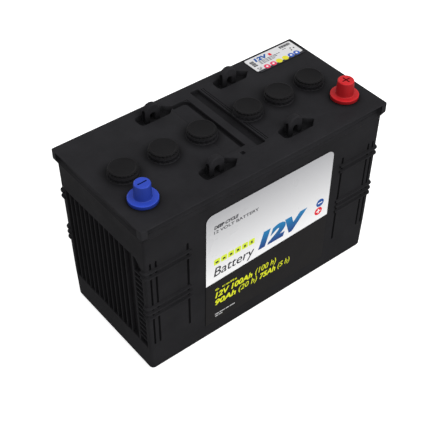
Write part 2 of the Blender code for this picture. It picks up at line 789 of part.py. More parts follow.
def build_cells(lead, oxide, sheet, guard):
    positive = positive_group()
    negative = negative_group()
    wrap = separator()
    cover_sheet = plate_protector()
    for n, x in enumerate(CELL_X):
        at = (x, 0, 0)
        for name, mesh, material, side in (
            ("positive_plates", positive, oxide, strap_side(n, True)),
            ("negative_plates", negative, lead, strap_side(n, False)),
        ):
            turn = 0 if side > 0 else math.pi
            place(f"{name}_{n + 1}", moved(mesh, (0, 0, 0), turn), material, at)
        place(f"separator_{n + 1}", wrap.copy(), sheet, at)
        place(f"plate_protector_{n + 1}", cover_sheet.copy(), guard, at)
    reach = CELL_PITCH - 2 * STRAP_HALF_LENGTH - 2 * GAP
    link = centred_box((0, 0, 0), (reach, LINK_WIDTH, LINK_HEIGHT))
    for n in range(CELL_COUNT - 1):
        place(f"intercell_link_{n + 1}", link.copy(), lead, link_centre(n))


# --- labels ------------------------------------------------------------------------------------


def build_labels(silver, white):
    """The large label follows the lean of the front wall; the small one lies on the lid."""
    outline = rounded_rectangle(FRONT_LABEL_X, FRONT_LABEL_Z, FRONT_LABEL_RADIUS)
    steps = CORNER_STEPS + 1
    low_right = (FRONT_LABEL_X[1], FRONT_LABEL_Z[0])
    low_left = (FRONT_LABEL_X[0], FRONT_LABEL_Z[0])
    outline = [low_left, low_right] + outline[steps : 3 * steps]
    middle = sum(FRONT_LABEL_Z) / 2
    lean = math.atan(DRAFT / (SHOULDER_Z - FOOT_CHAMFER))
    shape = [(u, v - middle) for u, v in outline]
    label = place("front_label", prism(shape, -LABEL_THICKNESS, 0, "Y"), silver)
    label.location = (0, -(WIDTH / 2 - wall_inset(middle) + GAP), middle)
    label.rotation_euler = (lean, 0, 0)
    small = rounded_rectangle(TOP_LABEL_X, TOP_LABEL_Y, TOP_LABEL_RADIUS)
    place("top_label", prism(small, LID_TOP + GAP, LID_TOP + GAP + LABEL_THICKNESS), white)


# --- the whole battery -------------------------------------------------------------------------


def main():
    for item in list(bpy.data.objects):
        bpy.data.objects.remove(item)
    black = finish("case_black", (0.022, 0.022, 0.024), 0.45)
    lid_black = finish("lid_black", (0.026, 0.026, 0.028), 0.42)
    plug_black = finish("plug_black", (0.018, 0.018, 0.020), 0.5)
    rubber = finish("seal_rubber", (0.015, 0.015, 0.016), 0.8)
    lead = finish("lead", (0.30, 0.31, 0.34), 0.5, 0.9)
    build_case(black)
    build_lid(lid_black)
    build_vents(plug_black, rubber)
    blue = finish("cover_blue", (0.03, 0.07, 0.55), 0.4)
    red = finish("cover_red", (0.75, 0.02, 0.02), 0.4)
    build_terminals(lead, blue, red)
    oxide = finish("tubular_plate_brown", (0.10, 0.055, 0.035), 0.85)
    sheet = finish("separator_sheet", (0.55, 0.55, 0.52), 0.7)
    guard = finish("protector_sheet", (0.70, 0.70, 0.66), 0.6)
    build_cells(lead, oxide, sheet, guard)
    silver = finish("label_silver", (0.72, 0.73, 0.75), 0.4)
    white = finish("label_white", (0.85, 0.85, 0.85), 0.45)
    build_labels(silver, white)


main()
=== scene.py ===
"""The looks of a deep cycle battery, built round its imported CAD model.

Metres, +Z up, in the frame of the CAD model: +X from the negative to the positive terminal, -Y
towards the large label, the origin at the centre of the base.
"""

import math

import bmesh
import bpy
from mathutils import Matrix, Vector


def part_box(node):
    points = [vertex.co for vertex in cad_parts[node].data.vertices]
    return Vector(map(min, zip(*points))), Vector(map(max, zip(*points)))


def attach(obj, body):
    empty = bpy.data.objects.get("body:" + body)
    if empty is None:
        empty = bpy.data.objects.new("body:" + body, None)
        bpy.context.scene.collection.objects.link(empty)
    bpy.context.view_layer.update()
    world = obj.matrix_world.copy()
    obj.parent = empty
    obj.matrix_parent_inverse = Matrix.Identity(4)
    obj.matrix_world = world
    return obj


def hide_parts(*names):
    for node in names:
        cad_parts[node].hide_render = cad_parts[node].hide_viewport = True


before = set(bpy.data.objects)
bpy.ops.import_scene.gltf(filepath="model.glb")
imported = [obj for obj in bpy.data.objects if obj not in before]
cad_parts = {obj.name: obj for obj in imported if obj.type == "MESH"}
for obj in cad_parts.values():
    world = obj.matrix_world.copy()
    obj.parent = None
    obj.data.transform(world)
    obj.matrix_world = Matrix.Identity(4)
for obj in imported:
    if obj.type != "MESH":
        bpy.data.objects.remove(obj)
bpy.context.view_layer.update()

# Case and lid.
HALF_LENGTH, HALF_WIDTH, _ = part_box("lid")[1]
LID_TOP = 0.230
LID_BOTTOM = 0.218
CASE_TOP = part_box("case")[1][2]
SHOULDER_Z = 0.212
OVERHANG = 0.0034
DRAFT = 0.0030
BODY_RADIUS = 0.003
LID_RADIUS = 0.002
LID_EDGE = 0.0008
COVE_TOP = 0.2291
COVE_BOTTOM = 0.2119
COVE_DEPTH = 0.0066
CORNER_BLOCK = 0.0080
COVE_SHARES = ((0.4, 0.6), (0.75, 0.8), (0.95, 1.0), (0.985, 0.9), (1, 0.3))
FOOT_CORNER = 0.0050
FOOT_RADIUS = 0.0050
FOOT_Z = 0.0030
CORNER_STEPS = 6

# Fins in the end walls.
BAY_DEPTH = 0.0055
BAY_FRONT = -0.072
BAY_BACK = 0.0715
BAY_BOTTOM = 0.038
BAY_TOP = 0.1762
BAY_CHAMFER = 0.0095
BAY_FILLET = 0.0006
FIN_THICKNESS = 0.0019
FIN_EDGE_THICKNESS = 0.0034
FIN_FIRST = -0.0416
FIN_PITCH = 0.00963
FIN_COUNT = 12
FIN_EDGE = -0.0567
RUNG_FIRST = 0.0475
RUNG_PITCH = 0.00812
RUNG_COUNT = 14
RUNG_THICKNESS = 0.0024

# Corner ribs and upright grooves.
RIB_HEIGHTS = (0.0922, 0.1003, 0.1084, 0.1562, 0.1645)
BACK_RIB_RAISE = 0.0075
RIB_TIP = 0.0009
RIB_FLARE = 0.0021
RIB_PROUD = 0.0024
RIB_ROOT = 0.0031
RIB_INNER_X = 0.1088
RIB_END_Y = 0.0732
GROOVES = ((0.1135, 0.0030), (0.1550, 0.0026), (0.1621, 0.0024))
GROOVE_DEPTH = 0.0023
GROOVE_BOTTOM = 0.044
GROOVE_TOP = 0.1765

# Cells, as far as the case and the lid show them.
CELL_PITCH = 0.05300
CELL_LENGTH = 0.0508
CELL_HALF_WIDTH = 0.0746
FLOOR = 0.003
POCKET_TOP = 0.2205

# The lid's recesses.
RECESS_FLOOR = 0.222
RECESS_SPANS = ((-0.073, -0.024), (0.038, 0.087))
RECESS_Y = (-0.0533, 0.0630)
RECESS_HALF_WIDTH = 0.009
RECESS_POINT = 0.010
LUG_X = (-0.0520, 0.0590)
LUG_Y = (-0.0498, 0.0665)
LUG_RADIUS = 0.0100
LUG_TOP = 0.245
LUG_HALF = 0.004
LUG_EDGE = 0.0016
LUG_HOLE_RADIUS = 0.0035
LUG_HOLE_TOP = 0.234
LUG_SLOT_RADIUS = 0.0021
LUG_SLOT_TOP = 0.2381
BOSS_ROOT = 0.2213
BOSS_RADIUS = 0.0172
BOSS_TOP = 0.2357
SEAT_DEPTH = 0.0016
SEAT_RADIUS = 0.0147
VENT_BORE_RADIUS = 0.0125
POST_HOLE_RADIUS = 0.0128
BORE_FOOT = 0.200
COLLAR_RADIUS = 0.0160
COLLAR_FOOT = 0.206
COLLAR_RIBS = 20
COLLAR_RIB_DEPTH = 0.0008
CHANNEL_FLOOR = 0.2255
CHANNELS = (((-0.0295, -0.0035), (-0.0413, 0.0638)), ((0.0065, 0.0184), (-0.0503, 0.0715)))
THIN_GROOVE_STEPS = (0.0022, 0.0048)
THIN_GROOVE_WIDTH = 0.0009
THIN_GROOVE_DEPTH = 0.0010
DIMPLE = ((-0.0165, -0.0115), (-0.0525, -0.0475))
DIMPLE_DEPTH = 0.0022
TRAY_DEPTH = 0.0010
DRAIN_WIDTH = 0.0060
DRAIN_END = -0.0265
DRAIN_BEND = 0.009
DRAIN_INNER_BEND = 0.004
GAP = 0.0003
PLUG_NAMES = [f"vent_plug_{n}" for n in range(1, 7)]
ROUND = 64
CUT = "DIFFERENCE"
JOIN = "UNION"


def wall_inset(z):
    """How far the case wall stands inside the lid's outline at height z."""
    return OVERHANG + DRAFT * (SHOULDER_Z - z) / (SHOULDER_Z - FOOT_Z)


def put_in_scene(name, data):
    """A new object in the scene."""
    item = bpy.data.objects.new(name, data)
    bpy.context.scene.collection.objects.link(item)
    return item


# --- mesh makers ---


def facing_out(mesh):
    """The same mesh with its faces turned outward."""
    work = bmesh.new()
    work.from_mesh(mesh)
    bmesh.ops.recalc_face_normals(work, faces=work.faces)
    work.to_mesh(mesh)
    work.free()
    return mesh


def mesh_from(points, faces):
    mesh = bpy.data.meshes.new("mesh")
    mesh.from_pydata([tuple(p) for p in points], [], faces)
    return facing_out(mesh)


def joined(meshes):
    work = bmesh.new()
    for mesh in meshes:
        work.from_mesh(mesh)
    result = bpy.data.meshes.new("mesh")
    work.to_mesh(result)
    work.free()
    return result


def moved(mesh, offset, turn=0.0):
    result = mesh.copy()
    result.transform(Matrix.Translation(Vector(offset)) @ Matrix.Rotation(turn, 4, "Z"))
    return result


def combined(base, tools, operation):
    """The base mesh after one Boolean with all the tools together."""
    holder = put_in_scene("holder", base)
    other = put_in_scene("other", joined(tools))
    modifier = holder.modifiers.new("combine", "BOOLEAN")
    modifier.object = other
    modifier.operation = operation
    modifier.solver = "EXACT"
    modifier.use_self = operation == JOIN
    graph = bpy.context.evaluated_depsgraph_get()
    result = bpy.data.meshes.new_from_object(holder.evaluated_get(graph))
    for item in (holder, other):
        bpy.data.objects.remove(item)
    return result


def skin(rings, ring_shape=False):
    """A solid through rings of points with the same count, capped unless it closes on itself."""
    count = len(rings[0])
    points = [p for ring in rings for p in ring]
    total = len(points)
    faces = []
    if not ring_shape:
        faces = [tuple(range(count)), tuple(range(total - count, total))]
    for level in range(len(rings) if ring_shape else len(rings) - 1):
        for n in range(count):
            m = (n + 1) % count
            low = level * count
            high = (level + 1) * count % total
            faces.append((low + n, low + m, high + m, high + n))
    return mesh_from(points, faces)


def arc(centre, radius, start, end, steps):
    """Points on an arc, in degrees, with both ends."""
    turns = [math.radians(start + (end - start) * n / steps) for n in range(steps + 1)]
    return [(centre[0] + radius * math.cos(t), centre[1] + radius * math.sin(t)) for t in turns]


def rounded_rectangle(x, y, radius, steps=CORNER_STEPS):
    """An outline from two (low, high) spans, anticlockwise."""
    outline = []
    corners = ((x[1], y[0], -90), (x[1], y[1], 0), (x[0], y[1], 90), (x[0], y[0], 180))
    for cx, cy, start in corners:
        u = cx - math.copysign(radius, cx - sum(x) / 2)
        v = cy - math.copysign(radius, cy - sum(y) / 2)
        outline += arc((u, v), radius, start, start + 90, steps)
    return outline


def grown(outline, amount):
    """An anticlockwise outline with each side moved out by an amount."""
    count = len(outline)
    result = []
    for n in range(count):
        here = Vector(outline[n])
        sides = [here - Vector(outline[n - 1]), Vector(outline[(n + 1) % count]) - here]
        normals = [Vector((d.y, -d.x)).normalized() for d in sides]
        middle = (normals[0] + normals[1]).normalized()
        reach = amount / max(0.35, middle.dot(normals[0]))
        result.append(tuple(here + middle * reach))
    return result


def at_level(outline, level, axis="Z"):
    """An outline of two coordinates as points at a level of an axis."""
    if axis == "X":
        return [(level, u, v) for u, v in outline]
    if axis == "Y":
        return [(u, level, v) for u, v in outline]
    return [(u, v, level) for u, v in outline]


def slab(outline, low, high, edge=0.0, axis="Z", steps=3):
    """An outline pulled from low to high, with its two rims rounded by edge."""
    if not edge:
        return skin([at_level(outline, level, axis) for level in (low, high)])
    turns = [math.pi / 2 * k / steps for k in range(steps + 1)]
    rim = [(edge * (1 - math.cos(t)), edge * (math.sin(t) - 1)) for t in turns]
    rings = [(low + rise, inset) for rise, inset in rim]
    rings += [(high - rise, inset) for rise, inset in reversed(rim)]
    return skin([at_level(grown(outline, inset), level, axis) for level, inset in rings])


def pit(outline, floor, top, fillet, lip):
    """A cutter for a sunk shape: a filleted floor, leaning sides and a rounded lip at the top."""
    over = 0.004
    rings = [(floor, -fillet - lip), (floor + fillet * 0.3, -fillet * 0.3 - lip), (floor + fillet, -lip)]
    rings += [(top - lip, -lip * 0.35), (top - lip * 0.3, lip * 0.1)]
    rings += [(top, lip * 0.8), (top + over, lip * 0.8 + over)]
    return skin([at_level(grown(outline, inset), level) for level, inset in rings])


def around(radius, turn, z):
    return (radius * math.cos(turn), radius * math.sin(turn), z)


def turned(profile, steps=ROUND, ring_shape=False):
    """A profile of (radius, z) turned about Z."""
    turns = [2 * math.pi * n / steps for n in range(steps)]
    rings = [[around(r, t, z) for t in turns] for r, z in profile]
    return skin(rings, ring_shape)


def rectangle(x, y):
    return [(x[0], y[0]), (x[1], y[0]), (x[1], y[1]), (x[0], y[1])]


def box(x, y, z):
    return skin([at_level(rectangle(x, y), level) for level in z])


def spread(middle, width):
    return (middle - width / 2, middle + width / 2)


def middle_of(name):
    """Where the middle of a CAD node's box stands in X and Y."""
    low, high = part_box(name)
    return (low[0] + high[0]) / 2, (low[1] + high[1]) / 2


# --- materials ---


class Nodes:
    """A short way to build a node tree."""

    def __init__(self, name):
        self.material = bpy.data.materials.new(name)
        self.material.use_nodes = True
        self.tree = self.material.node_tree
        self.shader = self.tree.nodes["Principled BSDF"]

    def add(self, kind, inputs=None, **settings):
        node = self.tree.nodes.new(kind)
        for key, value in settings.items():
            setattr(node, key, value)
        for key, value in (inputs or {}).items():
            self.put(node.inputs[key], value)
        return node

    def put(self, socket, value):
        if isinstance(value, bpy.types.NodeSocket):
            self.tree.links.new(value, socket)
        else:
            socket.default_value = value

    def set(self, name, value):
        self.put(self.shader.inputs[name], value)

    def position(self):
        return self.add("ShaderNodeTexCoord").outputs["Object"]

    def noise(self, scale, detail=2.0, rough=0.5):
        inputs = {"Vector": self.position(), "Scale": scale, "Detail": detail, "Roughness": rough}
        return self.add("ShaderNodeTexNoise", inputs).outputs["Fac"]

    def ramp(self, value, low, high, to_low, to_high):
        inputs = {"Value": value, "From Min": low, "From Max": high, "To Min": to_low, "To Max": to_high}
        return self.add("ShaderNodeMapRange", inputs).outputs["Result"]

    def mix(self, amount, first, second):
        node = self.add("ShaderNodeMix", data_type="RGBA")
        self.put(node.inputs["Factor"], amount)
        self.put(node.inputs[6], first)
        self.put(node.inputs[7], second)
        return node.outputs[2]

    def maths(self, operation, first, second=0.0):
        node = self.add("ShaderNodeMath", operation=operation)
        self.put(node.inputs[0], first)
        self.put(node.inputs[1], second)
        return node.outputs[0]

    def worn_edges(self, width):
        """1 along sharp edges, 0 on open faces, broken up by noise."""
        bevel = self.add("ShaderNodeBevel", {"Radius": width}, samples=4)
        true_normal = self.add("ShaderNodeNewGeometry").outputs["Normal"]
        dot = self.add("ShaderNodeVectorMath", operation="DOT_PRODUCT")
        self.put(dot.inputs[0], bevel.outputs["Normal"])
        self.put(dot.inputs[1], true_normal)
        edge = self.ramp(dot.outputs["Value"], 0.995, 0.80, 0.0, 1.0)
        return self.maths("MULTIPLY", edge, self.ramp(self.noise(160.0, 3.0), 0.35, 0.7, 0.15, 1.0))

    def gloss(self, scale, detail, middle, below, above, rough=0.5):
        """Roughness that wanders round a middle value."""
        value = self.ramp(self.noise(scale, detail, rough), 0.3, 0.7, middle - below, middle + above)
        self.set("Roughness", value)

    def open_sky(self, reach, dark, shut):
        """1 on open faces, falling to dark where only a share of the sky, shut, is in view."""
        node = self.add("ShaderNodeAmbientOcclusion", {"Distance": reach}, samples=6)
        return self.ramp(node.outputs["AO"], shut, 0.95, dark, 1.0)

    def lying(self, upright):
        """1 on level faces, the value upright on vertical ones."""
        normal = self.add("ShaderNodeNewGeometry").outputs["Normal"]
        split = self.add("ShaderNodeSeparateXYZ", {"Vector": normal})
        return self.ramp(self.maths("ABSOLUTE", split.outputs["Z"]), 0.25, 0.85, upright, 1.0)

    def bump(self, height, distance):
        inputs = {"Height": height, "Distance": distance, "Strength": 1.0}
        return self.add("ShaderNodeBump", inputs).outputs["Normal"]

    def done(self, plain):
        """The material, with a plain colour for solid view."""
        self.material.diffuse_color = rgb(plain)
        return self.material


def rgb(colour):
    return (*colour, 1.0)


def moulded(name, colour, roughness, grain=1500.0, depth=0.00003, specular=0.3, wear=0.5, tint=None,
            reach=0.012, shade=0.0, flank=1.0, shut=0.25):
    """Moulded plastic: fine grain, slight mottling in colour and gloss, pale worn edges, and painted shade
    that darkens the colour in hollows and, by flank, on upright faces.
    """
    n = Nodes(name)
    mottle = n.noise(28.0, 4.0, 0.6)
    darker = rgb([c * 0.86 for c in colour])
    lighter = rgb([c * 1.14 for c in colour])
    base = n.mix(n.ramp(mottle, 0.3, 0.7, 0.0, 1.0), darker, lighter)
    worn = rgb(tint or [min(1.0, c * 1.8 + 0.006) for c in colour])
    edges = n.maths("MULTIPLY", n.worn_edges(0.0007), wear)
    # Painted shade: the colour darkens where little sky is in view (hollows, gaps, under rims) and on
    # upright faces by the flank factor.
    shown = n.maths("MULTIPLY", n.open_sky(reach, shade, shut), n.lying(flank))
    painted_shade_colour = n.mix(shown, rgb([c * 0.25 for c in colour]), base)
    n.set("Base Color", n.mix(edges, painted_shade_colour, worn))
    n.gloss(55.0, 3.0, roughness, 0.05, 0.06, 0.6)
    n.set("Specular IOR Level", specular)
    n.set("Normal", n.bump(n.noise(grain, 3.0, 0.65), depth))
    return n.done(colour)


def under_film(n, base, roughness, specular, plain):
    """The finish that all inks share: faintly uneven gloss and a barely wavy film."""
    n.set("Base Color", base)
    n.gloss(40.0, 3.0, roughness, 0.04, 0.05)
    n.set("Specular IOR Level", specular)
    n.set("Normal", n.bump(n.noise(300.0, 2.0), 0.00001))
    return n.done(plain)


def printed(name, colour, roughness=0.42, specular=0.2):
    """Ink of an even colour."""
    n = Nodes(name)
    speck = n.ramp(n.noise(900.0, 2.0), 0.3, 0.7, 0.0, 1.0)
    base = n.mix(speck, rgb([c * 0.97 for c in colour]), rgb([min(1.0, c * 1.02) for c in colour]))
    return under_film(n, base, roughness, specular, colour)


def faded(name, low, high, z_low, z_high):
    """Ink that fades from one colour at a low height to another at a high one."""
    n = Nodes(name)
    split = n.add("ShaderNodeSeparateXYZ", {"Vector": n.position()})
    height = n.ramp(split.outputs["Z"], z_low, z_high, 0.0, 1.0)
    middle = [(a + b) / 2 for a, b in zip(low, high)]
    return under_film(n, n.mix(height, rgb(low), rgb(high)), 0.3, 0.25, middle)


def cast_lead(name):
    """Dull cast lead: bluish grey, with a blotchy oxide bloom and a sandy skin."""
    n = Nodes(name)
    bloom = n.ramp(n.noise(120.0, 5.0, 0.65), 0.38, 0.62, 0.0, 1.0)
    base = n.mix(bloom, rgb((0.22, 0.23, 0.26)), rgb((0.46, 0.47, 0.50)))
    edges = n.worn_edges(0.0005)
    n.set("Base Color", n.mix(edges, base, rgb((0.62, 0.63, 0.66))))
    n.set("Metallic", 0.85)
    n.gloss(90.0, 4.0, 0.50, 0.12, 0.12)
    n.set("Normal", n.bump(n.noise(800.0, 4.0, 0.7), 0.00008))
    return n.done((0.35, 0.36, 0.39))


def matt(name, dark, light, scale, roughness=0.85, depth=0.0001):
    """A dull, porous surface such as oxide paste, fabric tubes or a porous sheet."""
    n = Nodes(name)
    patch = n.ramp(n.noise(scale, 5.0, 0.65), 0.35, 0.65, 0.0, 1.0)
    n.set("Base Color", n.mix(patch, rgb(dark), rgb(light)))
    n.gloss(scale * 2, 3.0, roughness, 0.08, 0.08)
    n.set("Specular IOR Level", 0.3)
    n.set("Normal", n.bump(n.noise(scale * 12, 4.0, 0.7), depth))
    return n.done([(a + b) / 2 for a, b in zip(dark, light)])


# --- placing ---


def piece(name, mesh, material, body, replaces=(), smooth=40.0):
    """A named piece that rides on a body."""
    mesh.materials.clear()
    mesh.materials.append(material)
    mesh.shade_smooth()
    mesh.set_sharp_from_angle(angle=math.radians(smooth))
    item = put_in_scene(name, mesh)
    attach(item, body)
    if replaces:
        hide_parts(*replaces)
    return item


# --- case ---


def body_rings(levels):
    """Rounded rectangles at (z, inset from the lid's outline, corner radius)."""
    rings = []
    for z, inset, radius in levels:
        x = HALF_LENGTH - inset
        y = HALF_WIDTH - inset
        rings.append(at_level(rounded_rectangle((-x, x), (-y, y), radius), z))
    return rings


def end_bay(side):
    """The cutter for the sunk panel in one end wall, with its front top corner cut off."""
    outline = [
        (BAY_FRONT, BAY_BOTTOM),
        (BAY_BACK, BAY_BOTTOM),
        (BAY_BACK, BAY_TOP),
        (BAY_FRONT + BAY_CHAMFER, BAY_TOP),
        (BAY_FRONT, BAY_TOP - BAY_CHAMFER),
    ]
    floor = [(BAY_DEPTH, -BAY_FILLET), (BAY_DEPTH - BAY_FILLET, 0.0)]
    lip = [(BAY_FILLET, 0.0002), (-0.0001, 0.0009), (-0.004, 0.0050)]
    rings = []
    for depth, growth in floor + lip:
        shape = grown(outline, growth)
        rings.append([(side * (HALF_LENGTH - wall_inset(z) - depth), y, z) for y, z in shape])
    return skin(rings)


def bar(across, span, thickness, setback, side, upright):
    """A fin or a rung in an end bay, with a rounded nose and slightly leaning flanks."""
    half = thickness / 2
    nose = half * 0.55
    section = [(BAY_DEPTH + 0.001, half * 1.25), (setback + nose, half)]
    section += [(setback + nose * 0.3, half * 0.82), (setback, half * 0.45)]
    section = section + [(d, -w) for d, w in reversed(section)]
    rings = []
    for end in span:
        ring = []
        for depth, width in section:
            y, z = (across + width, end) if upright else (end, across + width)
            ring.append((side * (HALF_LENGTH - wall_inset(z) - depth), y, z))
        rings.append(ring)
    return skin(rings)


def end_fins(side):
    """The upright fins of one bay, the thick one that borders them and the rungs beside it."""
    upright = (BAY_BOTTOM - 0.002, BAY_TOP + 0.002)
    pieces = [bar(FIN_EDGE, upright, FIN_EDGE_THICKNESS, 0.0004, side, True)]
    for n in range(FIN_COUNT):
        pieces.append(bar(FIN_FIRST + n * FIN_PITCH, upright, FIN_THICKNESS, 0.0006, side, True))
    span = (BAY_FRONT - 0.002, FIN_EDGE)
    for n in range(RUNG_COUNT):
        pieces.append(bar(RUNG_FIRST + n * RUNG_PITCH, span, RUNG_THICKNESS, 0.0009, side, False))
    return pieces


def corner_rib(side_x, side_y, z):
    """One horizontal rib that wraps a corner, wide at its root and rounded at its tip."""
    x = HALF_LENGTH - wall_inset(z)
    y = HALF_WIDTH - wall_inset(z)
    heights = [(-RIB_FLARE, -0.0002), (-RIB_FLARE * 0.72, RIB_PROUD * 0.3)]
    heights += [(-RIB_TIP, RIB_PROUD * 0.86), (-RIB_TIP * 0.4, RIB_PROUD)]
    heights += [(-h, reach) for h, reach in reversed(heights)]
    rings = []
    for height, reach in heights:
        end = RIB_INNER_X + (RIB_PROUD - reach) * 0.6
        outline = [(end, y + reach)]
        outline += arc((x - BODY_RADIUS, y - BODY_RADIUS), BODY_RADIUS + reach, 90, 0, CORNER_STEPS)
        outline += [(x + reach, RIB_END_Y), (x - RIB_ROOT, RIB_END_Y)]
        outline += [(x - RIB_ROOT, y - RIB_ROOT), (end, y - RIB_ROOT)]
        rings.append([(side_x * u, side_y * v, z + height) for u, v in outline])
    return skin(rings)


def upright_groove(side_x, x, width, side_y):
    """A vertical groove with round ends that follows the lean of the walls."""
    outline = rounded_rectangle(spread(x, width), (GROOVE_BOTTOM, GROOVE_TOP), width * 0.45, 4)
    bottom = [(GROOVE_DEPTH, -width * 0.22), (GROOVE_DEPTH * 0.75, -width * 0.06)]
    mouth = [(0.0002, 0.0), (-0.0001, 0.0004), (-0.002, 0.0012)]
    rings = []
    for depth, growth in bottom + mouth:
        ring = []
        for u, z in grown(outline, growth):
            lean = wall_inset(z) - OVERHANG
            ring.append((side_x * (u - lean), side_y * (HALF_WIDTH - wall_inset(z) - depth), z))
        rings.append(ring)
    return skin(rings)


def case_levels():
    """The outside of the case: a rounded foot, leaning walls and a shoulder that flares to the lid."""
    levels = []
    for k in range(7):
        t = math.pi / 2 * k / 6
        z = FOOT_RADIUS * (1 - math.cos(t))
        levels.append((z, wall_inset(z) + FOOT_RADIUS * (1 - math.sin(t)), FOOT_CORNER))
    wall_top = SHOULDER_Z - 0.0012
    levels += [(z, wall_inset(z), BODY_RADIUS) for z in (0.050, 0.100, 0.160, wall_top)]
    levels.append((SHOULDER_Z - 0.0002, wall_inset(wall_top) - 0.0002, BODY_RADIUS))
    levels.append((SHOULDER_Z + 0.0006, OVERHANG - 0.0007, BODY_RADIUS * 0.95))
    levels.append((SHOULDER_Z + 0.0048, 0.0006, LID_RADIUS))
    levels.append((SHOULDER_Z + 0.0053, 0.0002, LID_RADIUS))
    levels.append((CASE_TOP, 0.0001, LID_RADIUS))
    return levels


def cell_wells(low, high):
    """Six boxes, one for each cell, between two heights."""
    across = (-CELL_HALF_WIDTH, CELL_HALF_WIDTH)
    return [box(spread((n - 2.5) * CELL_PITCH, CELL_LENGTH), across, (low, high)) for n in range(6)]


def build_case(material):
    corners = [(a, b) for a in (-1, 1) for b in (-1, 1)]
    grooves = [upright_groove(a, x, width, b) for a, b in corners for x, width in GROOVES]
    ribs = [corner_rib(a, b, z + max(b, 0) * BACK_RIB_RAISE) for a, b in corners for z in RIB_HEIGHTS]
    body = skin(body_rings(case_levels()))
    for operation, tools in (
        (CUT, [end_bay(side) for side in (-1, 1)]),
        (JOIN, end_fins(-1) + end_fins(1)),
        (CUT, grooves),
        (JOIN, ribs),
        (CUT, side_coves()),
        (CUT, cell_wells(FLOOR, LID_TOP)),
    ):
        body = combined(body, tools, operation)
    piece("case_shell", body, material, "root", ["case"], 32.0)


# --- lid ---


def recess_outline(span, y):
    """A recess with rounded corners at its left end and a point at its right end."""
    low, high = span
    half = RECESS_HALF_WIDTH
    side = [(low, half * 0.55), (low + half * 0.2, half * 0.9), (low + half * 0.6, half)]
    side += [(high - RECESS_POINT, half), (high - 0.0006, 0.0008)]
    return [(x, y - w) for x, w in side] + [(x, y + w) for x, w in reversed(side)]


def drain_outline(channel):
    """The deep part of the left channel: down its right side and round to the back left lug."""
    (_, right), (front, back) = channel
    bend = DRAIN_BEND
    inner = DRAIN_INNER_BEND
    left = right - DRAIN_WIDTH
    leg = back - DRAIN_WIDTH
    outline = [(left, front), (right, front)]
    outline += arc((right - bend, back - bend), bend, 0, 90, 8)
    outline += [(DRAIN_END, back), (DRAIN_END, leg)]
    outline += arc((left - inner, leg - inner), inner, 90, 0, 6)
    return outline


def arch_outline(x, radius, top, foot, steps=16):
    """The outline of an arch in X and Z, anticlockwise."""
    return [(x + radius, foot)] + arc((x, top - radius), radius, 0, 180, steps) + [(x - radius, foot)]


def lug(x, y):
    """An arch with rounded rims."""
    outline = arch_outline(x, LUG_RADIUS, LUG_TOP, RECESS_FLOOR - 0.001, 24)
    return slab(outline, y - LUG_HALF, y + LUG_HALF, LUG_EDGE, "Y", 4)


def lug_hole(x, y):
    """A hole for a rope, front to back, flared at both ends."""
    outline = arch_outline(x, LUG_HOLE_RADIUS, LUG_HOLE_TOP, RECESS_FLOOR + 0.0003, 12)
    flare = [(0.0032, 0.0), (LUG_HALF + 0.0001, 0.0009), (0.009, 0.003)]
    steps = [(-reach, growth) for reach, growth in reversed(flare)] + flare
    return skin([at_level(grown(outline, growth), y + reach, "Y") for reach, growth in steps])


def lug_slot(x, y):
    """A slot in the left flank of a lug that opens into its hole."""
    outline = arch_outline(y, LUG_SLOT_RADIUS, LUG_SLOT_TOP, RECESS_FLOOR + 0.0006, 12)
    steps = ((0.0145, 0.001), (LUG_RADIUS - 0.001, 0.0004), (0.0, 0.0))
    return skin([at_level(grown(outline, growth), x - reach, "X") for reach, growth in steps])


def ribbed_collar():
    """A raised boss for one vent, with shallow upright ribs round it."""
    rings = []
    wall = BOSS_RADIUS
    for radius, z, depth in (
        (COLLAR_RADIUS, COLLAR_FOOT, 0.0), (COLLAR_RADIUS, BOSS_ROOT, 0.0),
        (wall + 0.0006, BOSS_ROOT, 0.0), (wall + 0.0006, LID_TOP + 0.0001, 0.0),
        (wall + 0.0002, LID_TOP + 0.0004, 0.0), (wall, LID_TOP + 0.0008, 0.0),
        (wall, LID_TOP + 0.0011, COLLAR_RIB_DEPTH), (wall, BOSS_TOP - 0.0013, COLLAR_RIB_DEPTH),
        (wall, BOSS_TOP - 0.0009, 0.0), (wall - 0.0002, BOSS_TOP - 0.0002, 0.0),
        (wall - 0.0005, BOSS_TOP, 0.0),
    ):
        ring = []
        for step in range(COLLAR_RIBS * 6):
            t = 2 * math.pi * step / (COLLAR_RIBS * 6)
            wave = 0.5 - 0.5 * math.cos(COLLAR_RIBS * t)
            ring.append(around(radius - depth * wave ** 2, t, z))
        rings.append(ring)
    return skin(rings)


def vent_bore():
    """The cutter for one vent: the bore, the seal's seat above it and a chamfer at the top."""
    seat = BOSS_TOP - SEAT_DEPTH
    return turned([
        (VENT_BORE_RADIUS, BORE_FOOT), (VENT_BORE_RADIUS, seat), (SEAT_RADIUS, seat),
        (SEAT_RADIUS, BOSS_TOP - 0.0003), (SEAT_RADIUS + 0.0004, BOSS_TOP),
        (SEAT_RADIUS + 0.0004, BOSS_TOP + 0.002),
    ])


def side_coves():
    """Cutters for the long hollows under the lid's rim, which leave a block at each corner."""
    section = [
        (COVE_TOP, -0.003), (COVE_TOP, 0.0), (COVE_TOP - 0.0004, COVE_DEPTH * 0.45),
        (COVE_TOP - 0.0020, COVE_DEPTH * 0.82), (COVE_TOP - 0.0060, COVE_DEPTH),
        (COVE_TOP - 0.0100, COVE_DEPTH * 0.92), (COVE_BOTTOM, COVE_DEPTH * 0.45),
        (COVE_BOTTOM, -0.003),
    ]
    cutters = []
    for side in (-1, 1):
        for reach, wall, along_x in ((HALF_LENGTH, HALF_WIDTH, True), (HALF_WIDTH, HALF_LENGTH, False)):
            rings = []
            for end, share in [(-end, share) for end, share in reversed(COVE_SHARES)] + list(COVE_SHARES):
                at = end * (reach - CORNER_BLOCK)
                ring = []
                for z, depth in section:
                    across = side * (wall - (depth * share if depth > 0 else depth))
                    ring.append((at, across, z) if along_x else (across, at, z))
                rings.append(ring)
            cutters.append(skin(rings))
    return cutters


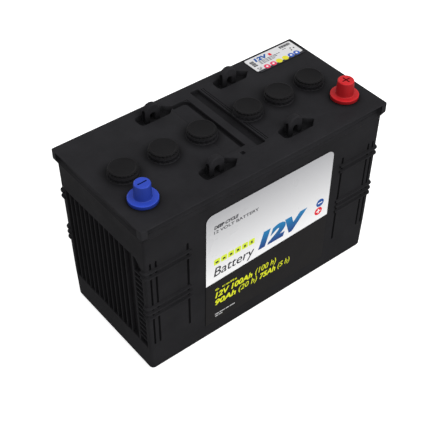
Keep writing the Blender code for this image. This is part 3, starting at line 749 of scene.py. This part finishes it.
def lid_deck():
    """The plate of the lid: a rounded rim, the hollows under it and a pocket over each cell."""
    levels = [(LID_BOTTOM, 0.0004, LID_RADIUS), (LID_BOTTOM + 0.0004, 0.0, LID_RADIUS)]
    for k in range(5):
        t = math.pi / 2 * k / 4
        levels.append((LID_TOP - LID_EDGE * (1 - math.sin(t)), LID_EDGE * (1 - math.cos(t)), LID_RADIUS))
    body = combined(skin(body_rings(levels)), side_coves(), CUT)
    return combined(body, cell_wells(LID_BOTTOM - 0.002, POCKET_TOP), CUT)


def channel_pits():
    """Cutters for the left channel's tray, the right channel, its two thin grooves and the dimple."""
    left, right = CHANNELS
    pits = [pit(rounded_rectangle(*left, 0.0015, 4), LID_TOP - TRAY_DEPTH, LID_TOP, 0.0004, 0.0003)]
    pits.append(pit(rounded_rectangle(*right, 0.0015, 4), CHANNEL_FLOOR, LID_TOP, 0.0008, 0.0005))
    for step in THIN_GROOVE_STEPS:
        x = (right[0][1] + step, right[0][1] + step + THIN_GROOVE_WIDTH)
        y = (right[1][0] + 0.002, right[1][1] - 0.002)
        groove = rounded_rectangle(x, y, 0.0004, 3)
        pits.append(pit(groove, LID_TOP - THIN_GROOVE_DEPTH, LID_TOP, 0.0001, 0.0001))
    dimple = rounded_rectangle(*DIMPLE, 0.001, 3)
    return pits + [pit(dimple, LID_TOP - DIMPLE_DEPTH, LID_TOP, 0.0005, 0.0004)]


def build_lid(material):
    outlines = [recess_outline(span, y) for span in RECESS_SPANS for y in RECESS_Y]
    recesses = [pit(outline, RECESS_FLOOR, LID_TOP, 0.0012, 0.0008) for outline in outlines]
    drain = pit(drain_outline(CHANNELS[0]), CHANNEL_FLOOR, LID_TOP, 0.0008, 0.0005)
    post_hole = turned([(POST_HOLE_RADIUS, BORE_FOOT), (POST_HOLE_RADIUS, LID_TOP + 0.002)])
    vents = [middle_of(name) for name in PLUG_NAMES]
    posts = [middle_of(name) for name in ("negative_bushing", "positive_bushing")]
    lugs = [(x, y) for x in LUG_X for y in LUG_Y]
    body = lid_deck()
    for operation, tools in (
        (CUT, recesses),
        (CUT, channel_pits()),
        (CUT, [drain]),
        (JOIN, [moved(ribbed_collar(), (x, y, 0)) for x, y in vents]),
        (JOIN, [lug(x, y) for x, y in lugs]),
        (CUT, [lug_hole(x, y) for x, y in lugs]),
        (CUT, [lug_slot(x, y) for x, y in lugs]),
        (CUT, [moved(vent_bore(), (x, y, 0)) for x, y in vents]),
        (CUT, [moved(post_hole, (x, y, 0)) for x, y in posts]),
    ):
        body = combined(body, tools, operation)
    piece("lid_shell", body, material, "root", ["lid"], 32.0)


# --- vent plugs ---

FLUTES = 24
FLUTE_DEPTH = 0.0012
STEPS_PER_FLUTE = 6
THREAD_PITCH = 0.003
SHANK_RADIUS = 0.0110
THREAD_DEPTH = 0.0009
THREAD_TOP = -0.0022
SHANK_BOTTOM = -0.0157
WELL_RADIUS = 0.0086
WELL_TOP = -0.003
GRIP_RADIUS = 0.0162
FLANGE_RADIUS = 0.0171
PLUG_TOP = 0.0040
PLUG_TURN = 0.37
SEAL_RADIUS = 0.0133
SEAL_HALF_WIDTH = 0.0009
SEAL_HALF_HEIGHT = 0.00064
SEAL_MIDDLE = -0.00065


def plug_rings():
    """Rings from the well under the shank, round the outside and in to the dished top. The shank
    carries a thread and the grip is fluted."""
    count = FLUTES * STEPS_PER_FLUTE
    turns = [2 * math.pi * n / count for n in range(count)]

    def plain(radius, z):
        return [around(radius, t, z) for t in turns]

    def threaded(z, strength):
        ring = []
        for t in turns:
            phase = (z / THREAD_PITCH - t / (2 * math.pi)) % 1.0
            crest = max(0.0, 1.0 - abs(phase - 0.5) * 3.2)
            ring.append(around(SHANK_RADIUS + THREAD_DEPTH * crest * strength, t, z))
        return ring

    def fluted(radius, z, strength):
        ring = []
        for t in turns:
            wave = 0.5 - 0.5 * math.cos(FLUTES * t)
            ring.append(around(radius - FLUTE_DEPTH * strength * wave ** 2, t, z))
        return ring

    rings = [plain(WELL_RADIUS - 0.0006, WELL_TOP), plain(WELL_RADIUS - 0.0002, WELL_TOP - 0.0004)]
    rings += [plain(WELL_RADIUS, SHANK_BOTTOM + 0.0006), plain(WELL_RADIUS + 0.0006, SHANK_BOTTOM)]
    rings += [plain(SHANK_RADIUS - 0.0004, SHANK_BOTTOM), plain(SHANK_RADIUS, SHANK_BOTTOM + 0.0006)]
    z = SHANK_BOTTOM + 0.0008
    while z < THREAD_TOP:
        rings.append(threaded(z, min(1.0, (z - SHANK_BOTTOM) / 0.002, (THREAD_TOP - z) / 0.001)))
        z += 0.0004
    rings += [plain(SHANK_RADIUS, -0.0020), plain(SHANK_RADIUS, 0.0003)]
    edge = FLANGE_RADIUS
    grip = GRIP_RADIUS
    rings += [plain(edge - 0.0004, 0.0003), plain(edge - 0.0001, 0.0004), plain(edge, 0.0006)]
    rings += [plain(edge - 0.0001, 0.0009), plain(edge - 0.0004, 0.00105), plain(grip + 0.0002, 0.0011)]
    flutes = ((0.0012, 0.5), (0.0014, 1.0), (0.0032, 1.0), (0.0035, 0.6))
    rings += [fluted(grip, z, depth) for z, depth in flutes]
    rings += [plain(grip - 0.0004, 0.0038), plain(grip - 0.0009, PLUG_TOP), plain(0.0141, PLUG_TOP)]
    rings += [plain(0.0138, 0.0039), plain(0.0134, 0.0036), plain(0.0130, 0.0035), plain(0.0010, 0.0035)]
    return rings


def build_vents(plug_material, seal_material):
    plug = skin(plug_rings())
    ring = []
    for k in range(12):
        t = 2 * math.pi * k / 12
        z = SEAL_MIDDLE + SEAL_HALF_HEIGHT * math.sin(t)
        ring.append((SEAL_RADIUS + SEAL_HALF_WIDTH * math.cos(t), z))
    seal = turned(ring, ROUND, True)
    for n, name in enumerate(PLUG_NAMES, 1):
        at = (*middle_of(name), BOSS_TOP)
        turned_plug = moved(plug, at, PLUG_TURN * n)
        piece(f"vent_plug_knurled_{n}", turned_plug, plug_material, name, [name], 50.0)
        seal_name = f"vent_seal_{n}"
        piece(f"vent_seal_ring_{n}", moved(seal, at), seal_material, seal_name, [seal_name])


# --- terminals ---


COVER_HOLLOW_TOP = 0.2488
COVER_FLANGE = 0.01675
COVER_SKIRT = 0.0142
SIGN_REACH = 0.0056
SIGN_HALF = 0.00095
SIGN_DEPTH = 0.0024

# Outer radii of each cover and of each post, at the foot and at the top.
COVER_RADII = {"negative": (0.00985, 0.00905), "positive": (0.01045, 0.00965)}
POST_RADII = {"negative": (0.00875, 0.00795), "positive": (0.00935, 0.00855)}
POST_FOOT = 0.2321
PILLAR_RADIUS = 0.0075


def cover_mesh(wide, narrow, positive):
    """A push-on cap with a flange, a hollow underside and the pole's sign sunk in its top."""
    bottom = LID_TOP + GAP
    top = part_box("negative_cover")[1][2]
    flange = bottom + 0.0047
    rim = COVER_FLANGE
    body = turned([
        (0.0002, COVER_HOLLOW_TOP), (narrow - 0.0007, COVER_HOLLOW_TOP), (wide - 0.0007, 0.2320),
        (COVER_SKIRT, 0.2318), (COVER_SKIRT, bottom), (rim - 0.00045, bottom),
        (rim - 0.0001, bottom + 0.0003), (rim, bottom + 0.0008), (rim, flange - 0.0012),
        (rim - 0.0002, flange - 0.0005), (rim - 0.00075, flange - 0.0001), (rim - 0.00135, flange),
        (wide + 0.0012, flange), (wide + 0.0005, flange + 0.0002),
        (wide + 0.0001, flange + 0.0007), (wide, flange + 0.0013),
        (narrow + 0.00005, top - 0.0016), (narrow - 0.0001, top - 0.0009),
        (narrow - 0.0005, top - 0.0003), (narrow - 0.0012, top), (narrow - 0.0022, top),
    ], 72)
    arm = (-SIGN_REACH, SIGN_REACH)
    width = (-SIGN_HALF, SIGN_HALF)
    across = slab(rounded_rectangle(arm, width, SIGN_HALF * 0.5, 3), top - SIGN_DEPTH, top + 0.001)
    if not positive:
        return combined(body, [across], CUT)
    along = slab(rounded_rectangle(width, arm, SIGN_HALF * 0.5, 3), top - SIGN_DEPTH, top + 0.001)
    return combined(body, [combined(across, [along], JOIN)], CUT)


def post_mesh(low, top, wide, narrow):
    """A pillar, the tapered post on it and a small centre dimple in the post's top."""
    return turned([
        (PILLAR_RADIUS - 0.0004, low), (PILLAR_RADIUS, low + 0.0004), (PILLAR_RADIUS, POST_FOOT),
        (wide - 0.0003, POST_FOOT), (wide, POST_FOOT + 0.0004), (narrow + 0.0001, top - 0.0012),
        (narrow - 0.0002, top - 0.0004), (narrow - 0.0008, top), (0.0022, top),
        (0.0018, top - 0.0005), (0.0002, top - 0.0007),
    ])


def bushing_mesh():
    """A ring with a locking groove round its side and a rounded flange on the lid."""
    return turned([
        (0.0078, LID_BOTTOM), (0.0125, LID_BOTTOM), (0.0125, 0.2220), (0.0121, 0.2224),
        (0.0121, 0.2236), (0.0125, 0.2240), (0.0125, 0.2303), (0.0137, 0.2303), (0.0139, 0.2305),
        (0.0139, 0.2311), (0.0136, 0.2315), (0.0081, 0.2315), (0.0078, 0.2312),
    ], ROUND, True)


def build_terminals(blue, red, lead):
    for name, colour, slot in (("negative", blue, "blue_plastic"), ("positive", red, "red_plastic")):
        low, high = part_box(f"{name}_post")
        at = (*middle_of(f"{name}_post"), 0)
        cover = f"{name}_cover"
        cap = moved(cover_mesh(*COVER_RADII[name], name == "positive"), at)
        piece(f"{name}_terminal_cover", cap, colour, cover, [cover], 35.0)
        post = moved(post_mesh(low[2], high[2], *POST_RADII[name]), at)
        piece(f"{name}_terminal_post", post, lead, "root", [f"{name}_post"])
        bushing = moved(bushing_mesh(), at)
        piece(f"{name}_lead_bushing", bushing, lead, "root", [f"{name}_bushing"])


# --- labels ---

FILM = 0.0004
INK = 0.00006


def on_front(x, z, thickness):
    """Where a point of a flat design lies on the front wall."""
    return (x, -(HALF_WIDTH - wall_inset(z) + GAP + thickness), z)


def on_lid(x, y, thickness):
    """Where a point of a flat design lies on the lid."""
    return (x, y, LID_TOP + GAP + thickness)


def laid(meshes, place):
    """Flat designs joined in one mesh and laid in place."""
    mesh = joined(meshes)
    for vertex in mesh.vertices:
        vertex.co = place(*vertex.co)
    return facing_out(mesh)


def lettering(text, left, right, bottom, top, slant=0.0, weight=0.0, low=FILM, high=FILM + INK):
    """Plain letters fitted to a box, as solids between two thicknesses."""
    curve = bpy.data.curves.new("letters", "FONT")
    curve.body = text
    curve.shear = slant
    curve.offset = weight
    curve.extrude = 0.5
    curve.resolution_u = 4
    item = put_in_scene("letters", curve)
    graph = bpy.context.evaluated_depsgraph_get()
    mesh = bpy.data.meshes.new_from_object(item.evaluated_get(graph))
    bpy.data.objects.remove(item)
    work = bmesh.new()
    work.from_mesh(mesh)
    bmesh.ops.remove_doubles(work, verts=work.verts, dist=1e-5)
    work.to_mesh(mesh)
    work.free()
    xs = [v.co.x for v in mesh.vertices]
    ys = [v.co.y for v in mesh.vertices]
    for v in mesh.vertices:
        u = (v.co.x - min(xs)) / (max(xs) - min(xs))
        w = (v.co.y - min(ys)) / (max(ys) - min(ys))
        v.co = (left + u * (right - left), bottom + w * (top - bottom), high if v.co.z > 0 else low)
    return mesh


def patch(left, right, bottom, top, radius=0.0003, low=FILM, high=FILM + INK):
    return slab(rounded_rectangle((left, right), (bottom, top), radius, 4), low, high)


def disc(x, y, radius, low=FILM, high=FILM + INK, steps=28):
    return slab(arc((x, y), radius, 0, 360 - 360 / steps, steps - 1), low, high)


def front_print(name, meshes, ink, replaces=()):
    """A piece of the front label from flat designs."""
    piece(f"front_label_{name}", laid(meshes, on_front), ink, "root", replaces)


def lid_print(name, meshes, ink, replaces=()):
    """A piece of the small label on the lid from flat designs."""
    piece(f"top_label_{name}", laid(meshes, on_lid), ink, "root", replaces)


# The front label. A line of print is (text, left, right, bottom, top, slant, weight).
FRONT_LABEL_TRIM = 0.0016
FRONT_LABEL_SPAN_Z = (0.0228, 0.1983)
FRONT_LABEL_RADIUS = 0.009
SILVER_EDGE = (0.0907, 0.0969)
DARK_LINES = (
    ("DEEP CYCLE", -0.0778, -0.0440, 0.1752, 0.1801, 0.18, 0.05),
    ("12 VOLT BATTERY", -0.0777, -0.0150, 0.1684, 0.1728, 0.0, 0.012),
    ("Battery", -0.0775, -0.0185, 0.0958, 0.1144, 0.18, 0.006),
)
BIG_LINE = ("12V", -0.0127, 0.0610, 0.1028, 0.1284, 0.22, 0.07)
YELLOW_LINES = (
    ("12V 100Ah", -0.0750, -0.0195, 0.0626, 0.0720, 0.2, 0.035),
    ("(100 h)", -0.0150, 0.0170, 0.0606, 0.0726, 0.2, 0.006),
    ("90Ah", -0.0750, -0.0440, 0.0500, 0.0593, 0.2, 0.035),
    ("(20 h)", -0.0400, -0.0120, 0.0485, 0.0600, 0.2, 0.006),
    ("75Ah", -0.0080, 0.0170, 0.0500, 0.0593, 0.2, 0.035),
    ("(5 h)", 0.0205, 0.0392, 0.0485, 0.0600, 0.2, 0.006),
    ("6 cells", -0.0752, -0.0430, 0.0755, 0.0788, 0.0, 0.008),
)
PANEL_COUNT = 6
PANEL_FIRST_X = -0.0732
PANEL_PITCH = 0.01002
PANEL_HALF = 0.0043
PANEL_SPAN_Z = (0.1192, 0.1280)
MINUS_AT = (0.0818, 0.1236)
PLUS_AT = (0.0802, 0.1109)
SIGN_DISC_RADIUS = 0.0059
SIGN_ARM = 0.0035
SIGN_BAR_HALF = 0.0008
SMALL_PRINT = (
    (0.0338, ((-0.0747, -0.0690), (-0.0682, -0.0600), (-0.0592, -0.0540), (-0.0530, -0.0451))),
    (0.0303, ((-0.0747, -0.0705), (-0.0697, -0.0637))),
)
SMALL_PRINT_HEIGHT = 0.0014


def panel_marks(low, high):
    """The row of panels, and a small plain mark on each that narrows along the row."""
    panels = []
    marks = []
    for n in range(PANEL_COUNT):
        x = PANEL_FIRST_X + n * PANEL_PITCH
        panels.append(patch(x - PANEL_HALF, x + PANEL_HALF, *PANEL_SPAN_Z, 0.0016, low, high))
        change = 0.0002 * n
        half = 0.0022 - change
        marks.append(patch(x - half, x + half, 0.1221, 0.1242 + change, 0.0004, high, high + INK))
        for wheel in (x - 0.0010, x + 0.0011):
            marks.append(disc(wheel, 0.1219, 0.0006, high, high + INK, 12))
    return panels, marks


def pole_signs(low, high):
    """A white minus and a white plus, for the middles of the two discs."""
    bars = []
    half = SIGN_BAR_HALF
    for x, z in (MINUS_AT, PLUS_AT):
        bars.append(patch(x - SIGN_ARM, x + SIGN_ARM, z - half, z + half, 0.0003, low, high))
    x, z = PLUS_AT
    top = high + INK * 0.01
    upright = patch(x - half, x + half, z - SIGN_ARM, z + SIGN_ARM, 0.0003, low, top)
    return [bars[0], combined(bars[1], [upright], JOIN)]


def build_front_label(inks):
    (x0, _, _), (x1, _, _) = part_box("front_label")
    x1 -= FRONT_LABEL_TRIM
    z0, z1 = FRONT_LABEL_SPAN_Z
    r = FRONT_LABEL_RADIUS
    film = [(x0, z0), (x1, z0)] + arc((x1 - r, z1 - r), r, 0, 90, 10) + arc((x0 + r, z1 - r), r, 90, 180, 10)
    silver = [(x0, SILVER_EDGE[0]), (x1, SILVER_EDGE[1])] + film[2:]
    front_print("film", [slab(film, 0.0, FILM)], inks["film_black"], ["front_label"])
    front_print("silver", [slab(silver, FILM, FILM + INK)], inks["silver"])
    low = FILM + INK
    high = FILM + 2 * INK
    panels, marks = panel_marks(low, high)
    front_print("dark_print", [lettering(*line, low, high) for line in DARK_LINES] + marks, inks["dark"])
    front_print("yellow_panels", panels, inks["lime"])
    front_print("blue_print", [lettering(*BIG_LINE, low, high)], inks["blue_fade"])
    front_print("minus_disc", [disc(*MINUS_AT, SIGN_DISC_RADIUS, low, high)], inks["blue"])
    front_print("plus_disc", [disc(*PLUS_AT, SIGN_DISC_RADIUS, low, high)], inks["red"])
    front_print("signs", pole_signs(high, high + INK), inks["white"])
    front_print("yellow_print", [lettering(*line) for line in YELLOW_LINES], inks["yellow"])
    small = []
    for z, spans in SMALL_PRINT:
        small += [patch(a, b, z, z + SMALL_PRINT_HEIGHT, 0.0004) for a, b in spans]
    front_print("white_print", small, inks["pale"])


# The small label on the lid.
BAND_WIDTH = 0.0033
BAR_PITCH = 0.00128
UPRIGHT_BARS = 13
UPRIGHT_BARS_FROM = 0.1472
UPRIGHT_BARS_Y = (0.0732, 0.0777)
LEVEL_BARS = 9
LEVEL_BARS_FROM = 0.0630
LEVEL_BARS_X = (0.0976, 0.1034)
SQUARES = 4
SQUARES_FROM = (0.0981, 0.0546)
SQUARES_PITCH = (0.00155, 0.00125)
GREY_LINES = (
    (0.0674, 0.1082, 0.1440),
    (0.0650, 0.1082, 0.1380),
    (0.0626, 0.1082, 0.1300),
    (0.0698, 0.1480, 0.1560),
)
SPECKS = ((0.1577, 0.0672), (0.1618, 0.0655), (0.1564, 0.0632))
DISC_ROW_Y = 0.0553
DISC_RADIUS = 0.0041
HEART_RADIUS = 0.0015
DISC_PLACES = {"red": (0.1108, 0.1206), "yellow": (0.1298, 0.1396), "blue": (0.1488, 0.1576)}


def bar_stacks():
    """Two stacks of plain bars and a block of squares."""
    bars = []
    for n in range(UPRIGHT_BARS):
        x = UPRIGHT_BARS_FROM + n * BAR_PITCH
        bars.append(patch(x, x + 0.0008 + 0.0003 * (n * 7 % 3 == 0), *UPRIGHT_BARS_Y, 0.0001))
    for n in range(LEVEL_BARS):
        y = LEVEL_BARS_FROM + n * BAR_PITCH
        bars.append(patch(*LEVEL_BARS_X, y, y + 0.0008 + 0.0003 * (n * 5 % 3 == 0), 0.0001))
    for row in range(SQUARES):
        for column in range(SQUARES):
            if (row * 5 + column * 3) % 4 != 1:
                x = SQUARES_FROM[0] + column * SQUARES_PITCH[0]
                y = SQUARES_FROM[1] + row * SQUARES_PITCH[1]
                bars.append(patch(x, x + 0.0012, y, y + 0.0009, 0.0002))
    return bars


def grey_words():
    """Lines of short bars that stand for small print."""
    bars = []
    for k, (y, left, right) in enumerate(GREY_LINES):
        x = left
        while x < right - 0.002:
            width = 0.0022 + 0.0011 * ((k * 3 + int(x * 9000)) % 3)
            bars.append(patch(x, min(x + width, right), y, y + 0.0013, 0.0002))
            x += width + 0.0008
    return bars


def build_top_label(inks):
    (x0, y0, _), (x1, y1, _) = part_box("top_label")
    paper = slab(rounded_rectangle((x0, x1), (y0, y1), 0.002, 5), 0.0, FILM)
    lid_print("paper", [paper], inks["paper"], ["top_label"])
    lid_print("blue_print", [lettering("12V", 0.1056, 0.1258, 0.0698, 0.0770, 0.15, 0.06)], inks["blue"])
    lid_print("red_mark", [patch(0.1275, 0.1312, 0.0700, 0.0750, 0.0008)], inks["red"])
    band = patch(x0 + 0.0020, x1, y0 - BAND_WIDTH - 0.0001, y0 - 0.0001, 0.0010, 0.0, FILM)
    specks = [disc(x, y, 0.0011, steps=16) for x, y in SPECKS]
    lid_print("dark_print", [band] + bar_stacks() + specks, inks["dark"])
    lid_print("grey_print", grey_words(), inks["grey"])
    disc_top = FILM + INK
    heart_top = FILM + 2 * INK
    hearts = []
    for colour, places in DISC_PLACES.items():
        discs = [disc(x, DISC_ROW_Y, DISC_RADIUS, FILM, disc_top) for x in places]
        lid_print(f"{colour}_discs", discs, inks["soft_" + colour])
        if colour != "yellow":
            hearts += [disc(x, DISC_ROW_Y, HEART_RADIUS, disc_top, heart_top, 20) for x in places]
    lid_print("disc_hearts", hearts, inks["white"])


# --- inside ---


def dress_cells(lead, oxide, sheet, guard):
    """Finishes for the CAD nodes inside the case, whose shapes are already right."""
    for name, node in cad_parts.items():
        finish = None
        if name.startswith("positive_plates"):
            finish = oxide
        elif name.startswith(("negative_plates", "intercell_link")):
            finish = lead
        elif name.startswith("separator"):
            finish = sheet
        elif name.startswith("plate_protector"):
            finish = guard
        if finish:
            for slot in node.material_slots:
                slot.material = finish


# --- stage ---

CAMERA_AT = (-0.54826, -0.67606, 0.91382)
CAMERA_RIGHT = (0.78081, -0.62475, 0.00448)
CAMERA_UP = (0.42925, 0.54166, 0.72273)
CAMERA_BACK = (-0.45395, -0.56239, 0.69111)
LENS = 80.53
FLOOR_REACH = 9
WORLD_STRENGTH = 0.50


def soft_sun(name, direction, strength, spread_degrees):
    """A broad soft light that shines from a direction."""
    data = bpy.data.lights.new(name, "SUN")
    data.energy = strength
    data.angle = math.radians(spread_degrees)
    sun = put_in_scene(name, data)
    sun.rotation_euler = Vector(direction).to_track_quat("Z", "Y").to_euler()


def build_floor():
    """A plain white floor. It bounces less light than it shows, like a floor lit from behind."""
    n = Nodes("floor_white")
    seen = n.add("ShaderNodeLightPath").outputs["Is Camera Ray"]
    patchy = n.ramp(n.noise(6.0, 2.0), 0.3, 0.7, 0.0, 1.0)
    shown = n.mix(patchy, rgb((0.93, 0.93, 0.93)), rgb((0.95, 0.95, 0.95)))
    n.set("Base Color", n.mix(seen, rgb((0.45, 0.45, 0.45)), shown))
    n.set("Roughness", 0.9)
    n.set("Specular IOR Level", 0.1)
    n.set("Emission Color", rgb((1.0, 1.0, 1.0)))
    n.set("Emission Strength", n.maths("MULTIPLY", seen, 0.55))
    span = (-FLOOR_REACH, FLOOR_REACH)
    floor = put_in_scene("floor", mesh_from(at_level(rectangle(span, span), 0.0), [(0, 1, 2, 3)]))
    floor.data.materials.append(n.material)


def build_world():
    """Plain soft light from all round, behind which the camera sees white."""
    world = bpy.data.worlds.new("studio")
    world.use_nodes = True
    backdrop = world.node_tree.nodes["Background"]
    backdrop.inputs["Color"].default_value = (1, 1, 1, 1)
    seen = world.node_tree.nodes.new("ShaderNodeLightPath").outputs["Is Camera Ray"]
    strength = world.node_tree.nodes.new("ShaderNodeMapRange")
    strength.inputs["To Min"].default_value = WORLD_STRENGTH
    strength.inputs["To Max"].default_value = 1.0
    world.node_tree.links.new(seen, strength.inputs["Value"])
    world.node_tree.links.new(strength.outputs["Result"], backdrop.inputs["Strength"])
    bpy.context.scene.world = world


def build_stage():
    build_floor()
    build_world()
    soft_sun("camera_side", (-0.50, -0.60, 0.62), 1.0, 50.0)
    soft_sun("front_right", (0.40, -0.72, 0.57), 1.5, 50.0)
    soft_sun("back_fill", (-0.20, 1.00, 0.05), 0.7, 60.0)

    data = bpy.data.cameras.new("camera")
    data.lens = LENS
    data.sensor_width = 36.0
    data.clip_start = 0.01
    camera = put_in_scene("camera", data)
    rotation = Matrix((CAMERA_RIGHT, CAMERA_UP, CAMERA_BACK)).transposed()
    camera.matrix_world = Matrix.Translation(CAMERA_AT) @ rotation.to_4x4()
    bpy.context.scene.camera = camera
    bpy.context.scene.view_settings.view_transform = "Standard"


PLAIN_INKS = {
    "dark": (0.030, 0.030, 0.036),
    "lime": (0.72, 0.86, 0.05),
    "yellow": (0.78, 0.82, 0.02),
    "blue": (0.010, 0.09, 0.36),
    "red": (0.80, 0.02, 0.04),
    "soft_blue": (0.05, 0.12, 0.50),
    "soft_red": (0.80, 0.06, 0.14),
    "soft_yellow": (0.80, 0.74, 0.04),
    "white": (0.93, 0.93, 0.93),
    "pale": (0.60, 0.60, 0.60),
    "grey": (0.17, 0.17, 0.19),
}


def label_inks():
    inks = {name: printed("ink_" + name, colour) for name, colour in PLAIN_INKS.items()}
    inks["film_black"] = printed("ink_black_film", (0.0180, 0.0170, 0.0175), 0.45, 0.04)
    inks["paper"] = printed("label_paper_white", (0.74, 0.74, 0.75), 0.4)
    inks["silver"] = faded("ink_silver_fade", (0.96, 0.96, 0.965), (0.46, 0.46, 0.475), 0.098, 0.196)
    inks["blue_fade"] = faded("ink_blue_fade", (0.012, 0.045, 0.22), (0.010, 0.22, 0.48), 0.103, 0.129)
    return inks


def cover_plastic(name, colour, tint, flank):
    """Bright moulded plastic with painted shade: darker on its upright sides and where the lid and flange
    hide the sky.
    """
    return moulded(name, colour, 0.36, 1400.0, 0.00002, 0.20, 0.3, tint, 0.03, 0.0, flank)


def main():
    # Painted shade from moulded(): the case's fin gaps and grooves, the hollows under the lid's rim and
    # round the bosses, and the plugs' flutes are darkened in colour.
    case = (0.0180, 0.0176, 0.0192)
    build_case(moulded("case_moulded_black", case, 0.55, specular=0.03, shade=0.42, shut=0.5))
    lid = (0.0215, 0.0211, 0.0234)
    build_lid(moulded("lid_moulded_black", lid, 0.52, specular=0.04, shade=0.25, shut=0.68))
    plug = moulded("plug_moulded_black", (0.0095, 0.0092, 0.0100), 0.48, specular=0.08, wear=1.0, shade=0.85)
    build_vents(plug, moulded("seal_black_rubber", (0.006, 0.006, 0.007), 0.7, 2600.0, 0.00002, 0.1))
    blue = cover_plastic("cover_blue_plastic", (0.030, 0.072, 0.52), (0.14, 0.22, 0.75), 0.40)
    red = cover_plastic("cover_red_plastic", (0.66, 0.018, 0.024), (0.88, 0.14, 0.15), 0.45)
    lead = cast_lead("cast_lead")
    build_terminals(blue, red, lead)
    inks = label_inks()
    build_front_label(inks)
    build_top_label(inks)
    oxide = matt("tube_fabric_brown", (0.07, 0.038, 0.022), (0.15, 0.085, 0.055), 220.0)
    sheet = matt("separator_porous", (0.48, 0.48, 0.45), (0.62, 0.62, 0.59), 300.0, 0.75)
    guard = matt("protector_porous", (0.62, 0.62, 0.58), (0.76, 0.76, 0.72), 260.0, 0.6)
    dress_cells(lead, oxide, sheet, guard)
    build_stage()


main()
